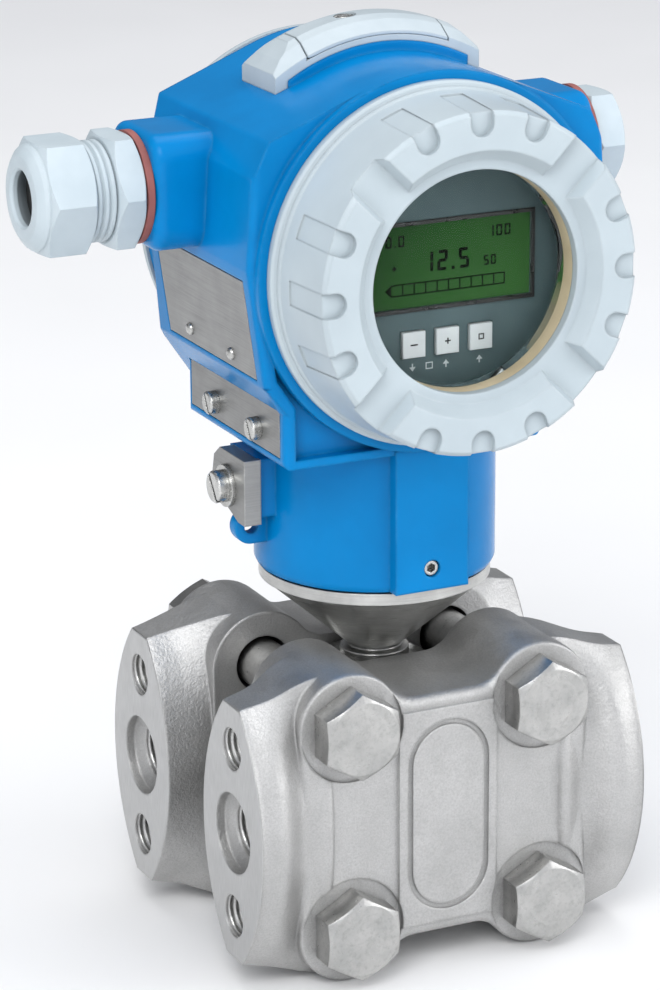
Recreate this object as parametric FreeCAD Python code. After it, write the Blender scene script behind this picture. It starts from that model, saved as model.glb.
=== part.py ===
import FreeCAD, Part
import math
import os

# Differential pressure transmitter, all lengths in millimetres.
# Built with X along the process flanges, -Y towards the display, +Z up, and Z = 0 on the
# axis of the process ports. Every shape is moved at export so that the frame's origin is
# the centre of the left-hand manifold face.
V = FreeCAD.Vector
X_DIR = V(1, 0, 0)
Y_DIR = V(0, 1, 0)
Z_DIR = V(0, 0, 1)
FAR = 300.0

# ------------------------------------------------------------------ process flanges
FLANGE_HALF_X = 49.5
PORT_Y = 27.0
UNF_Z = 20.65
UNF_RADIUS_LEFT = 5.04
UNF_RADIUS_RIGHT = 4.88
UNF_DEPTH = 17.0
PORT_RADIUS = 6.6
PORT_THREAD_DEPTH = 15.0
PORT_RECESS_RADIUS = 9.6
PORT_RECESS_DEPTH = 2.4
PORT_RECESS_CONE = 1.6
CHANNEL_RADIUS = 3.0
CHANNEL_INNER_X = 11.0
FLANGE_INNER_Y = 10.4
FLANGE_OUTER_Y = 43.5
PANEL_Y = 38.2
BAND_Y = 38.9
BAND_HALF_X = 12.7
SEAT_Y = 37.3
SEAT_RADIUS = 12.7
BOLT_X = 24.4
BOLT_Z = 24.8
BOSS_RADIUS = 13.0
BOLT_HOLE_RADIUS = 6.95
WAIST_Z = 29.7
WAIST_FILLET = 8.0
CORE_EDGE_ROUND = 2.2
PAD_HALF_X = 9.2
PAD_HALF_Z = 22.3
PAD_GROOVE = 1.3
PAD_GROOVE_DEPTH = 0.7
CHAMBER_RADIUS = 20.0
CHAMBER_DEPTH = 1.6
GASKET_INNER = 22.6
GASKET_OUTER = 25.8
GASKET_DEPTH = 1.8
GASKET_PLAY = 0.3

# ------------------------------------------------------------------ bolting
BOLT_RADIUS = 6.0
HEX_FLATS = 18.0
HEAD_HEIGHT = 7.5
NUT_HEIGHT = 10.0
BOLT_PROJECTION = 3.0
HEX_CHAMFER = 1.3
NUT_PLAY = 0.05

# ------------------------------------------------------------------ vent plugs
PLUG_RADIUS = 6.5
PLUG_LENGTH = 10.0
PLUG_HEX = 6.35
PLUG_HEX_DEPTH = 5.0
PLUG_SINK = 2.6

# ------------------------------------------------------------------ measuring cell
CELL_RADIUS = 28.3
CELL_CORE_RADIUS = 27.2
CELL_CORE_HALF_Y = 7.0
CELL_RECESS_RADIUS = 20.0
CELL_RECESS_DEPTH = 1.0
DIAPHRAGM_RADIUS = 19.7
DIAPHRAGM_THICKNESS = 0.4
STEM_RADIUS = 6.6
STEM_TOP_Z = 31.0
STEM_COLLAR_RADIUS = 8.2
STEM_COLLAR_TOP_Z = 29.4

# ------------------------------------------------------------------ neck adapter
CONE_BOTTOM_RADIUS = 7.2
CONE_TOP_RADIUS = 26.2
CONE_TOP_Z = 47.7
RIM_RADIUS = 27.4
RIM_BOTTOM_Z = 48.5
RIM_TOP_Z = 51.3
SPIGOT_RADIUS = 20.0
SPIGOT_TOP_Z = 66.0
SPIGOT_BORE = 13.5
SPIGOT_FLOOR_Z = 54.0
LOCK_GROOVE_FLOOR = 17.6
LOCK_GROOVE_HALF = 2.6
NECK_ORING_Z = 62.6
NECK_ORING_SECTION = 1.4
NECK_ORING_FLOOR = 18.2
HEADER_RADIUS = 13.1
HEADER_TOP_Z = 59.0
HEADER_PIN_RADIUS = 0.6
HEADER_PIN_CIRCLE = 7.0
HEADER_PIN_COUNT = 6
HEADER_PIN_TOP_Z = 63.0

# ------------------------------------------------------------------ housing casting
AXIS_Z = 129.7
NECK_RADIUS = 28.5
NECK_BOTTOM_Z = 51.5
NECK_BOTTOM_CHAMFER = 1.6
NECK_BORE = 20.05
NECK_BORE_TOP_Z = 67.0
BLOCK_BOTTOM_Z = 85.6
BODY_RADIUS = 43.6
SHOULDER_ANGLE = 22.0
BLOCK_X = 36.6
BLOCK_TOP_Z = 99.4
BLOCK_REAR_Y = 24.4
LEAN_FOOT = (41.2, 105.0)
LEAN_HEAD = (45.0, 132.0)
SIDE_POINTS = [(28.0, BLOCK_BOTTOM_Z), LEAN_FOOT, LEAN_HEAD, (43.6, 152.5)]
BODY_EDGE_ROUND = 1.6
SHOULDER_X = 39.9
BODY_FRONT_Y = -29.6
BODY_REAR_Y = 31.0
REAR_CHAMFER_X = 5.5
REAR_CHAMFER_Y = 5.5
COLLAR_FRONT_Y = -31.6
COLLAR_DEPTH = 7.0
REAR_COLLAR_RADIUS = 41.8
REAR_COLLAR_Y = 35.6
POCKET_LEFT = [(33.9, 87.6), (33.9, 99.8), (38.4, 106.5), (41.2, 122.0)]
POCKET_RIGHT = [(26.9, 87.6), (39.2, 105.7), (41.2, 122.0)]
POCKET_FLOOR_Y = -26.8
CHAMBER_BORE = 36.0
FRONT_CHAMBER_FLOOR_Y = -9.5
REAR_CHAMBER_FLOOR_Y = -4.5
PASSAGE_RADIUS = 6.0
PASSAGE_Y = -15.8
PAD_BLOCK_HALF_X = 9.3
PAD_BLOCK_Y = -30.2
PAD_BLOCK_BOTTOM_Z = 52.2
LOCK_SCREW_Z = 57.4
LOCK_SCREW_RADIUS = 2.0
LOCK_SCREW_HEX = 2.0
LOCK_SCREW_LENGTH = 11.4
ENTRY_Y = 8.0
ENTRY_Z = 145.0
ENTRY_FACE_X = 56.2
RIGHT_ENTRY_FACE_X = 55.0
ENTRY_HALF = 13.3
ENTRY_CORNER = 5.5
ENTRY_EDGE_ROUND = 2.4
ENTRY_BORE = 9.7
TOP_PAD_RADIUS = 45.8
TOP_PAD_HALF_X = 22.5
GUARD_MIDDLE_X = -1.7
GUARD_FRONT_Y = -6.0
GUARD_REAR_Y = 12.0
EYELET_X = -32.4
EYELET_Z = 63.9
EYELET_RADIUS = 4.2
EYELET_HOLE = 1.75
EYELET_HALF = 1.5
GROUND_PAD_X = -32.6
GROUND_Y = 2.0
GROUND_Z = 73.6

# ------------------------------------------------------------------ key guard and service keys
SERVICE_Y = 3.0
SERVICE_STEM = 1.6
SERVICE_CAP = 2.3
SERVICE_PITCH = 11.6
SERVICE_MIDDLE_X = -0.2
SERVICE_PLAY = 0.1
SERVICE_HOLE_FLOOR = 38.6
SERVICE_STEM_FLOOR = 40.2
SERVICE_POCKET_FLOOR = 43.0
SERVICE_CAP_SINK = 1.2
SERVICE_CAP_RISE = 1.1
GUARD_HALF_X = 25.6
GUARD_RADIUS = 51.0
GUARD_EDGE_RADIUS = 48.0
GUARD_PLATE_RADIUS = 47.2
GUARD_END_DROP = 4.6
GUARD_END_RUN = 6.0
GUARD_SCREW_X = -5.7
GUARD_SCREW_RADIUS = 1.5
GUARD_SCREW_HEAD = 2.5
FLAP_HALF_X = 17.5
FLAP_PLAY = 0.35
FLAP_WALL = 1.4
FLAP_GAP = 0.1
FLAP_PIVOT = (-19.1, 176.7)
FLAP_HEEL_RADIUS = 3.4
FLAP_HEEL_RUN = 1.5

# ------------------------------------------------------------------ covers
COVER_RIM_RADIUS = 41.6
COVER_RIM_HEIGHT = 2.4
COVER_STEP_RADIUS = 40.4
COVER_SIDE_RADIUS = 40.0
COVER_FACE_RADIUS = 38.6
COVER_HEIGHT = 22.4
COVER_EDGE = 0.9
COVER_FLOOR_HEIGHT = 19.2
SEGMENT_INNER_RADIUS = 30.0
SEGMENT_FOOT_RADIUS = 27.4
CHANNEL_WIDTH = 8.2
WINDOW_RADIUS = 25.2
LIP_HEIGHT = 16.9
CAVITY_HEIGHT = 15.4
CAVITY_RADIUS = 34.0
RING_OUTER = 28.2
RING_BOSS = 31.0
RING_HEIGHT = 9.6
THREAD_RADIUS = 35.94
THREAD_BORE = 32.6
THREAD_LENGTH = 9.0
NOTCH_ANGLES = [-21.5, 0.0, 21.5]
NOTCH_RADIUS = 2.8
NOTCH_CENTRE = 35.8
NOTCH_DEPTH = 1.3
FLUTE_DEPTH = 0.45
FRONT_COVER_ANGLE = 0.6
FLUTE_FOOT = 7.5
REAR_COVER_RADIUS_GAIN = 0.9
REAR_COVER_HEIGHT = 11.4
REAR_COVER_ROOF = 3.4
REAR_FLUTE_FOOT = 4.6
ORING_RADIUS = 37.9
ORING_SECTION = 1.0

# ------------------------------------------------------------------ glass, display, electronics
GLASS_BACK = 9.8
GLASS_FRONT = 13.0
GLASS_RADIUS = 25.1
DISPLAY_Y = -36.0
DISPLAY_RADIUS = 31.6
DISPLAY_DEPTH = 9.0
DISPLAY_WALL = 2.0
LCD_HALF_X = 21.2
LCD_BOTTOM_Z = 121.6
LCD_TOP_Z = 140.4
LCD_DEPTH = 3.0
LCD_SINK = 0.5
KEY_PITCH = 8.4
KEY_Z = 113.3
KEY_HALF_X = 2.8
KEY_HALF_Z = 2.95
KEY_PLAY = 0.15
KEY_PROUD = 0.9
KEY_DEPTH = 5.0
MODULE_RADIUS = 31.0
MODULE_FRONT_Y = -25.4
MODULE_POST_RADIUS = 2.4
MODULE_POST_CIRCLE = 27.0
TERMINAL_HALF_X = 22.0
TERMINAL_Z = 117.0
TERMINAL_HALF_Z = 8.0
TERMINAL_DEPTH = 14.0
TERMINAL_COUNT = 5
TERMINAL_PITCH = 8.2
TERMINAL_SCREW = 2.4
FEEDTHROUGH_RADIUS = 5.0
FEEDTHROUGH_X = 20.0
FEEDTHROUGH_Z = 138.0

# ------------------------------------------------------------------ plates
PLATE_THICKNESS = 0.8
PLATE_PLAY = 0.25
NAME_PLATE_Y = (-25.2, 22.8)
NAME_PLATE_Z = (106.4, 129.2)
RIVET_RADIUS = 1.5
RIVET_HEIGHT = 1.1
RIVET_YZ = [(10.0, 109.7), (-12.7, 109.4)]
TAG_PLATE_Y = (-26.6, 22.2)
TAG_PLATE_Z = (88.0, 98.9)
TAG_SCREW_Y = (8.5, -14.9)
TAG_SCREW_Z = 91.9
TAG_SCREW_RADIUS = 2.7
TAG_SCREW_HEIGHT = 2.4

# ------------------------------------------------------------------ cable gland and blind plug
SEAL_THICKNESS = 1.7
SEAL_RADIUS = 12.9
GLAND_FLATS = 24.8
GLAND_COLLAR = 6.6
GLAND_NECK_END_X = 69.6
GLAND_NECK_RADIUS = 10.9
GLAND_RIB_RADIUS = 11.5
GLAND_SPIGOT_RADIUS = 9.64
GLAND_SPIGOT_LENGTH = 10.0
GLAND_BORE = 6.6
GLAND_THREAD_END_X = 75.0
GLAND_THREAD_RADIUS = 9.9
NUT_HEX_END_X = 80.6
NUT_END_X = 83.2
NUT_FACE_RADIUS = 8.9
NUT_MOUTH = 6.3
NUT_BORE = 9.95
INSERT_BORE = 4.2
INSERT_RADIUS = 9.0
INSERT_LENGTH = 6.6
BLIND_HEAD = 8.0
BLIND_FLATS = 22.0


def cylinder(radius, start, end, direction, centre):
    """Solid cylinder from start to end along direction, its axis through centre."""
    base = centre + direction * start
    return Part.makeCylinder(radius, end - start, base, direction)


def box(low, high):
    """Solid box between two opposite corners."""
    size = [b - a for a, b in zip(low, high)]
    return Part.makeBox(size[0], size[1], size[2], V(low[0], low[1], low[2]))


def fuse(shapes):
    """One solid made of all the shapes, with needless seams removed."""
    result = shapes[0]
    if len(shapes) > 1:
        result = result.multiFuse(shapes[1:])
    return result.removeSplitter()


def turned(points, centre, radial, axial):
    """Full turn of a (radius, height) profile about the axis through centre."""
    corners = [centre + radial * r + axial * h for r, h in points]
    face = Part.Face(Part.makePolygon(corners + [corners[0]]))
    return face.revolve(centre, axial, 360)


def extruded(corners, travel):
    """Prism on a closed polygon of corners."""
    return Part.Face(Part.makePolygon(corners + [corners[0]])).extrude(travel)


def hexagon(flats, start, end, direction, centre, corner_direction):
    """Hexagonal prism with one corner pointing along corner_direction."""
    radius = flats / math.sqrt(3.0)
    base = centre + direction * start
    rotation = [FreeCAD.Rotation(direction, 60 * k) for k in range(6)]
    corners = [base + turn.multVec(corner_direction) * radius for turn in rotation]
    return extruded(corners, direction * (end - start))


def chamfered_hexagon(flats, start, end, direction, centre, corner_direction, chamfers):
    """Hexagonal prism with its corners turned down at the start and/or the end."""
    prism = hexagon(flats, start, end, direction, centre, corner_direction)
    tip = flats / math.sqrt(3.0) + 0.2
    face = flats / 2.0 - 0.4
    low = face if chamfers[0] else tip
    high = face if chamfers[1] else tip
    drop = HEX_CHAMFER
    profile = [(0, start), (low, start), (tip, start + drop), (tip, end - drop), (high, end), (0, end)]
    return prism.common(turned(profile, centre, corner_direction, direction))


def mirrored_x(shape):
    """Mirror image across the plane X = 0."""
    return shape.mirror(V(0, 0, 0), X_DIR)


def mirrored_y(shape):
    """Mirror image across the plane Y = 0."""
    return shape.mirror(V(0, 0, 0), Y_DIR)


# ------------------------------------------------------------------ flanges
def end_section(x, half_height, inner, outer, top_inner, top_outer):
    """Lens-shaped cross-section of a flange end at the given X."""
    side_in = Part.Arc(V(x, top_inner, half_height), V(x, inner, 0), V(x, top_inner, -half_height))
    side_out = Part.Arc(V(x, top_outer, -half_height), V(x, outer, 0), V(x, top_outer, half_height))
    low = Part.LineSegment(V(x, top_inner, -half_height), V(x, top_outer, -half_height))
    high = Part.LineSegment(V(x, top_outer, half_height), V(x, top_inner, half_height))
    return Part.Wire([side_in.toShape(), low.toShape(), side_out.toShape(), high.toShape()])


def core_outline(y):
    """Outline of the flange's middle: four bolt bosses joined by a waist above and below."""
    reach = BOSS_RADIUS + WAIST_FILLET
    rise = WAIST_Z + WAIST_FILLET - BOLT_Z
    run = math.sqrt(reach ** 2 - rise ** 2)
    share = BOSS_RADIUS / reach
    waist_x = BOLT_X - run
    touch = V(BOLT_X - run * share, y, BOLT_Z + rise * share)
    bend = math.atan2(rise, -run)
    middle = (bend - math.pi / 2) / 2 + math.pi / 2
    hollow = V(waist_x, y, WAIST_Z + WAIST_FILLET)
    dip = (-math.pi / 2 + (bend - math.pi)) / 2
    quarter = [
        Part.LineSegment(V(0, y, WAIST_Z), V(waist_x, y, WAIST_Z)).toShape(),
        Part.Arc(V(waist_x, y, WAIST_Z),
                 hollow + V(math.cos(dip), 0, math.sin(dip)) * WAIST_FILLET, touch).toShape(),
        Part.Arc(touch, V(BOLT_X + BOSS_RADIUS * math.cos(middle), y,
                          BOLT_Z + BOSS_RADIUS * math.sin(middle)),
                 V(BOLT_X, y, BOLT_Z + BOSS_RADIUS)).toShape(),
        Part.Arc(V(BOLT_X, y, BOLT_Z + BOSS_RADIUS),
                 V(BOLT_X + BOSS_RADIUS * math.sqrt(0.5), y, BOLT_Z + BOSS_RADIUS * math.sqrt(0.5)),
                 V(BOLT_X + BOSS_RADIUS, y, BOLT_Z)).toShape(),
        Part.LineSegment(V(BOLT_X + BOSS_RADIUS, y, BOLT_Z), V(BOLT_X + BOSS_RADIUS, y, 0)).toShape(),
    ]
    half = quarter + [edge.mirror(V(0, 0, 0), Z_DIR) for edge in quarter]
    edges = half + [edge.mirror(V(0, 0, 0), X_DIR) for edge in half]
    return Part.Face(Part.Wire(Part.__sortEdges__(edges)))


def obround(half_x, half_z, start, end):
    """Upright slot-shaped prism along Y."""
    run = half_z - half_x
    bar = box((-half_x, start, -run), (half_x, end, run))
    caps = [cylinder(half_x, start, end, Y_DIR, V(0, 0, side * run)) for side in (-1, 1)]
    return fuse([bar] + caps)


def threaded_port(x_sign, z):
    """Cutter for a plain-bored threaded hole in an end face."""
    centre = V(x_sign * FLANGE_HALF_X, PORT_Y, z)
    radius = UNF_RADIUS_LEFT if x_sign < 0 else UNF_RADIUS_RIGHT
    profile = [(0, 1.0), (radius, 1.0), (radius, -UNF_DEPTH), (0, -UNF_DEPTH - radius * 0.5)]
    return turned(profile, centre, Y_DIR, X_DIR * x_sign)


def process_port(x_sign):
    """Cutter for a process port: gasket recess, threaded bore and channel to the chamber."""
    centre = V(x_sign * FLANGE_HALF_X, PORT_Y, 0)
    thread_end = PORT_RECESS_DEPTH + PORT_RECESS_CONE + PORT_THREAD_DEPTH
    profile = [(0, 1.0), (PORT_RECESS_RADIUS, 1.0), (PORT_RECESS_RADIUS, -PORT_RECESS_DEPTH),
               (PORT_RADIUS, -PORT_RECESS_DEPTH - PORT_RECESS_CONE), (PORT_RADIUS, -thread_end),
               (CHANNEL_RADIUS, -thread_end - 2.0), (0, -thread_end - 2.0)]
    cutter = turned(profile, centre, Y_DIR, X_DIR * x_sign)
    drill = cylinder(CHANNEL_RADIUS, thread_end, FLANGE_HALF_X - CHANNEL_INNER_X, X_DIR * -x_sign, centre)
    riser = cylinder(CHANNEL_RADIUS, FLANGE_INNER_Y, PORT_Y, Y_DIR,
                     V(x_sign * (CHANNEL_INNER_X + 3), 0, 0))
    return [cutter, drill, riser]


def make_flange():
    """Rear process flange: cast core, lens-shaped ends, seats, pad, ports and chamber."""
    core = core_outline(FLANGE_INNER_Y).extrude(Y_DIR * (PANEL_Y - FLANGE_INNER_Y))
    rims = [e for e in core.Edges if e.BoundBox.YMin > PANEL_Y - 0.01]
    core = core.makeFillet(CORE_EDGE_ROUND, rims)
    sections = [
        end_section(-FLANGE_HALF_X, 31.2, FLANGE_INNER_Y, FLANGE_OUTER_Y, 22.6, 31.2),
        end_section(-45.5, 32.1, FLANGE_INNER_Y, FLANGE_OUTER_Y, 22.0, 31.6),
        end_section(-42.0, 33.0, FLANGE_INNER_Y, FLANGE_OUTER_Y - 0.9, 21.2, 32.0),
        end_section(-38.5, 34.2, FLANGE_INNER_Y, FLANGE_OUTER_Y - 4.0, 19.5, 32.0),
        end_section(-34.5, 35.6, FLANGE_INNER_Y, PANEL_Y + 0.25, 17.5, 32.0),
        end_section(-29.0, 36.6, FLANGE_INNER_Y, PANEL_Y - 0.1, 15.5, 31.5),
    ]
    end = Part.makeLoft(sections, True, False)
    band = box((-BAND_HALF_X, PANEL_Y - 4, -WAIST_Z + 3.0), (BAND_HALF_X, BAND_Y, WAIST_Z - 3.0))
    shape = fuse([core, end, mirrored_x(end), band])
    groove = obround(PAD_HALF_X + PAD_GROOVE, PAD_HALF_Z + PAD_GROOVE, BAND_Y - PAD_GROOVE_DEPTH,
                     BAND_Y + 1)
    groove = groove.cut(obround(PAD_HALF_X, PAD_HALF_Z, BAND_Y - 2, BAND_Y + 2))
    cutters = [groove, cylinder(CHAMBER_RADIUS, FLANGE_INNER_Y - 1, FLANGE_INNER_Y + CHAMBER_DEPTH,
                                Y_DIR, V(0, 0, 0))]
    seat = cylinder(GASKET_OUTER, FLANGE_INNER_Y - 1, FLANGE_INNER_Y + GASKET_DEPTH, Y_DIR, V(0, 0, 0))
    cutters.append(seat.cut(cylinder(GASKET_INNER, 0, FAR, Y_DIR, V(0, 0, 0))))
    for x, z in bolt_positions():
        cutters.append(cylinder(BOLT_HOLE_RADIUS, 0, FAR, Y_DIR, V(x, 0, z)))
        cutters.append(cylinder(SEAT_RADIUS, SEAT_Y, FAR, Y_DIR, V(x, 0, z)))
    for x_sign in (-1, 1):
        cutters += process_port(x_sign)
        for z_sign in (-1, 1):
            cutters.append(threaded_port(x_sign, z_sign * UNF_Z))
    return shape.cut(Part.Compound(cutters))


def bolt_positions():
    """(X, Z) of the four clamping bolts."""
    return [(sx * BOLT_X, sz * BOLT_Z) for sx in (-1, 1) for sz in (-1, 1)]


def make_bolts():
    """Four hexagon bolts, heads to the front."""
    solids = []
    for x, z in bolt_positions():
        centre = V(x, 0, z)
        head = chamfered_hexagon(HEX_FLATS, SEAT_Y, SEAT_Y + HEAD_HEIGHT, -Y_DIR, centre, Z_DIR,
                                 (False, True))
        tip = SEAT_Y + NUT_HEIGHT + BOLT_PROJECTION
        shank = turned([(0, -SEAT_Y), (BOLT_RADIUS, -SEAT_Y), (BOLT_RADIUS, tip - 1),
                        (BOLT_RADIUS - 1, tip),
                        (0, tip)], centre, Z_DIR, Y_DIR)
        solids.append(fuse([head, shank]))
    return Part.Compound(solids)


def make_nuts():
    """Four hexagon nuts on the rear flange."""
    solids = []
    for x, z in bolt_positions():
        centre = V(x, 0, z)
        nut = chamfered_hexagon(HEX_FLATS, SEAT_Y, SEAT_Y + NUT_HEIGHT, Y_DIR, centre, Z_DIR,
                                (False, True))
        solids.append(nut.cut(cylinder(BOLT_RADIUS + NUT_PLAY, 0, FAR, Y_DIR, centre)))
    return Part.Compound(solids)


def make_vent_plugs():
    """Two hexagon-socket plugs sunk in the right-hand ports."""
    solids = []
    for y in (-PORT_Y, PORT_Y):
        face = FLANGE_HALF_X - PLUG_SINK - PORT_RECESS_CONE
        centre = V(0, y, 0)
        body = turned([(0, face - PLUG_LENGTH), (PLUG_RADIUS - 0.5, face - PLUG_LENGTH),
                       (PLUG_RADIUS, face - PLUG_LENGTH + 1), (PLUG_RADIUS, face - 0.6),
                       (PLUG_RADIUS - 0.6, face), (0, face)], centre, Z_DIR, X_DIR)
        socket = hexagon(PLUG_HEX, face - PLUG_HEX_DEPTH, face + 1, X_DIR, centre, Z_DIR)
        solids.append(body.cut(socket))
    return Part.Compound(solids)


# ------------------------------------------------------------------ measuring cell and neck
def make_cell():
    """Disc-shaped measuring cell between the flanges with its short stem."""
    full = FLANGE_INNER_Y
    half = CELL_CORE_HALF_Y
    profile = [(0, -full + CELL_RECESS_DEPTH), (CELL_RECESS_RADIUS, -full + CELL_RECESS_DEPTH),
               (CELL_RECESS_RADIUS, -full), (CELL_CORE_RADIUS, -full), (CELL_RADIUS, -full + 1.1),
               (CELL_RADIUS, -half), (CELL_CORE_RADIUS, -half + 1.0), (CELL_CORE_RADIUS, half - 1.0),
               (CELL_RADIUS, half), (CELL_RADIUS, full - 1.1), (CELL_CORE_RADIUS, full),
               (CELL_RECESS_RADIUS, full), (CELL_RECESS_RADIUS, full - CELL_RECESS_DEPTH),
               (0, full - CELL_RECESS_DEPTH)]
    disc = turned(profile, V(0, 0, 0), Z_DIR, Y_DIR)
    stem = turned([(0, 22), (STEM_COLLAR_RADIUS, 22), (STEM_COLLAR_RADIUS, STEM_COLLAR_TOP_Z),
                   (STEM_RADIUS, STEM_COLLAR_TOP_Z + 0.6), (STEM_RADIUS, STEM_TOP_Z), (0, STEM_TOP_Z)],
                  V(0, 0, 0), X_DIR, Z_DIR)
    return fuse([disc, stem])


def make_diaphragms():
    """Two thin isolating diaphragms with pressed rings."""
    solids = []
    floor = FLANGE_INNER_Y - CELL_RECESS_DEPTH
    top = floor + DIAPHRAGM_THICKNESS
    profile = [(0, floor), (DIAPHRAGM_RADIUS, floor), (DIAPHRAGM_RADIUS, top)]
    for radius in (17.0, 13.0, 9.0, 5.0):
        profile += [(radius + 0.9, top), (radius, top + 0.25), (radius - 0.9, top)]
    profile.append((0, top))
    for side in (-1, 1):
        solids.append(turned(profile, V(0, 0, 0), Z_DIR, Y_DIR * side))
    return Part.Compound(solids)


def make_gaskets():
    """Two flat sealing rings between the cell and the flanges."""
    solids = []
    for side in (-1, 1):
        ring = cylinder(GASKET_OUTER - GASKET_PLAY, FLANGE_INNER_Y, FLANGE_INNER_Y + GASKET_DEPTH,
                        Y_DIR * side, V(0, 0, 0))
        hole = cylinder(GASKET_INNER + GASKET_PLAY, 0, FAR, Y_DIR * side, V(0, 0, 0))
        solids.append(ring.cut(hole))
    return Part.Compound(solids)


def make_neck_adapter():
    """Turned cone that carries the housing: rim, spigot with lock groove and seal groove."""
    low = LOCK_SCREW_Z - LOCK_GROOVE_HALF
    high = LOCK_SCREW_Z + LOCK_GROOVE_HALF
    ring_low = NECK_ORING_Z - NECK_ORING_SECTION - 0.1
    ring_high = NECK_ORING_Z + NECK_ORING_SECTION + 0.1
    profile = [(0, STEM_TOP_Z), (CONE_BOTTOM_RADIUS, STEM_TOP_Z), (CONE_TOP_RADIUS, CONE_TOP_Z),
               (RIM_RADIUS, RIM_BOTTOM_Z), (RIM_RADIUS, RIM_TOP_Z), (SPIGOT_RADIUS, RIM_TOP_Z),
               (SPIGOT_RADIUS, low), (LOCK_GROOVE_FLOOR, low + 0.6), (LOCK_GROOVE_FLOOR, high - 0.6),
               (SPIGOT_RADIUS, high), (SPIGOT_RADIUS, ring_low), (NECK_ORING_FLOOR, ring_low),
               (NECK_ORING_FLOOR, ring_high), (SPIGOT_RADIUS, ring_high),
               (SPIGOT_RADIUS, SPIGOT_TOP_Z - 0.8),
               (SPIGOT_RADIUS - 0.8, SPIGOT_TOP_Z), (SPIGOT_BORE, SPIGOT_TOP_Z),
               (SPIGOT_BORE, SPIGOT_FLOOR_Z), (0, SPIGOT_FLOOR_Z)]
    return turned(profile, V(0, 0, 0), X_DIR, Z_DIR)


def make_neck_oring():
    """Rubber ring that seals the housing against the adapter's spigot."""
    outer = SPIGOT_RADIUS - 0.05
    inner = NECK_ORING_FLOOR + 0.05
    half = NECK_ORING_SECTION - 0.1
    cut = 0.4
    profile = [(inner, NECK_ORING_Z - half + cut), (inner + cut, NECK_ORING_Z - half),
               (outer - cut, NECK_ORING_Z - half), (outer, NECK_ORING_Z - half + cut),
               (outer, NECK_ORING_Z + half - cut), (outer - cut, NECK_ORING_Z + half),
               (inner + cut, NECK_ORING_Z + half), (inner, NECK_ORING_Z + half - cut)]
    return turned(profile, V(0, 0, 0), X_DIR, Z_DIR)


def make_sensor_header():
    """Glass-to-metal header of the pressure sensor with its pins, in the adapter's bore."""
    parts = [cylinder(HEADER_RADIUS, SPIGOT_FLOOR_Z, HEADER_TOP_Z, Z_DIR, V(0, 0, 0))]
    for k in range(HEADER_PIN_COUNT):
        angle = 2 * math.pi * k / HEADER_PIN_COUNT
        centre = V(HEADER_PIN_CIRCLE * math.cos(angle), HEADER_PIN_CIRCLE * math.sin(angle), 0)
        parts.append(cylinder(HEADER_PIN_RADIUS, HEADER_TOP_Z - 1, HEADER_PIN_TOP_Z, Z_DIR, centre))
    return fuse(parts)


# ------------------------------------------------------------------ housing
def axis_point(y=0.0):
    """Point on the common axis of the covers and chambers."""
    return V(0, y, AXIS_Z)


def body_face():
    """Cross-section of the housing's body: round top, sloping shoulders, leaning sides."""
    angle = math.radians(SHOULDER_ANGLE)
    normal = (math.sin(angle), math.cos(angle))
    shoulder_z = AXIS_Z + (BODY_RADIUS - SHOULDER_X * normal[0]) / normal[1]
    right = [V(x, BODY_FRONT_Y, z) for x, z in SIDE_POINTS] + [V(SHOULDER_X, BODY_FRONT_Y, shoulder_z)]
    touch = V(BODY_RADIUS * normal[0], BODY_FRONT_Y, AXIS_Z + BODY_RADIUS * normal[1])
    right.append(touch)
    left = [V(-p.x, p.y, p.z) for p in reversed(right)]
    edges = [Part.LineSegment(a, b).toShape() for a, b in zip(right, right[1:])]
    edges.append(Part.Arc(right[-1], V(0, BODY_FRONT_Y, AXIS_Z + BODY_RADIUS), left[0]).toShape())
    edges += [Part.LineSegment(a, b).toShape() for a, b in zip(left, left[1:])]
    edges.append(Part.LineSegment(left[-1], right[0]).toShape())
    return Part.Face(Part.Wire(edges))


def rear_chamfer(side):
    """Cutter that slopes off one upright rear corner of the body."""
    edge_x = 45.2 * side
    corners = [V(edge_x, BODY_REAR_Y - REAR_CHAMFER_Y, 80),
               V(edge_x + 10 * side, BODY_REAR_Y - REAR_CHAMFER_Y, 80),
               V(edge_x + 10 * side, BODY_REAR_Y + 10, 80),
               V(edge_x - (REAR_CHAMFER_X + 10 * REAR_CHAMFER_X / REAR_CHAMFER_Y) * side,
                 BODY_REAR_Y + 10, 80)]
    return extruded(corners, Z_DIR * 100)


def entry_boss(side, face_x):
    """Rounded block that carries a cable entry, its outer face at face_x from the middle."""
    low = V(min(side * 38.0, side * face_x), ENTRY_Y - ENTRY_HALF, ENTRY_Z - ENTRY_HALF)
    block = Part.makeBox(face_x - 38.0, 2 * ENTRY_HALF, 2 * ENTRY_HALF, low)
    edges = [e for e in block.Edges if abs(e.tangentAt(e.FirstParameter).x) > 0.9]
    block = block.makeFillet(ENTRY_CORNER, edges)
    flat = [e for e in block.Edges if e.BoundBox.XLength < 0.01]
    rim = [e for e in flat if abs(e.BoundBox.XMin * side - face_x) < 0.01]
    return block.makeFillet(ENTRY_EDGE_ROUND, rim)


def body_block():
    """Block on the body's lower left that carries the tag plate."""
    inner_x = -SIDE_POINTS[0][0] + 4
    outline = [(inner_x, BLOCK_BOTTOM_Z), (-BLOCK_X, BLOCK_BOTTOM_Z), (-BLOCK_X, BLOCK_TOP_Z),
               (-LEAN_FOOT[0], LEAN_FOOT[1]), (inner_x, LEAN_FOOT[1])]
    block = extruded([V(x, BODY_FRONT_Y, z) for x, z in outline], Y_DIR * (BLOCK_REAR_Y - BODY_FRONT_Y))
    left = [e for e in block.Edges if e.BoundBox.XMax < -BLOCK_X + 0.01]
    corners = [e for e in left if e.BoundBox.ZMin < BLOCK_TOP_Z - 1]
    return block.makeFillet(BODY_EDGE_ROUND, corners)


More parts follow.
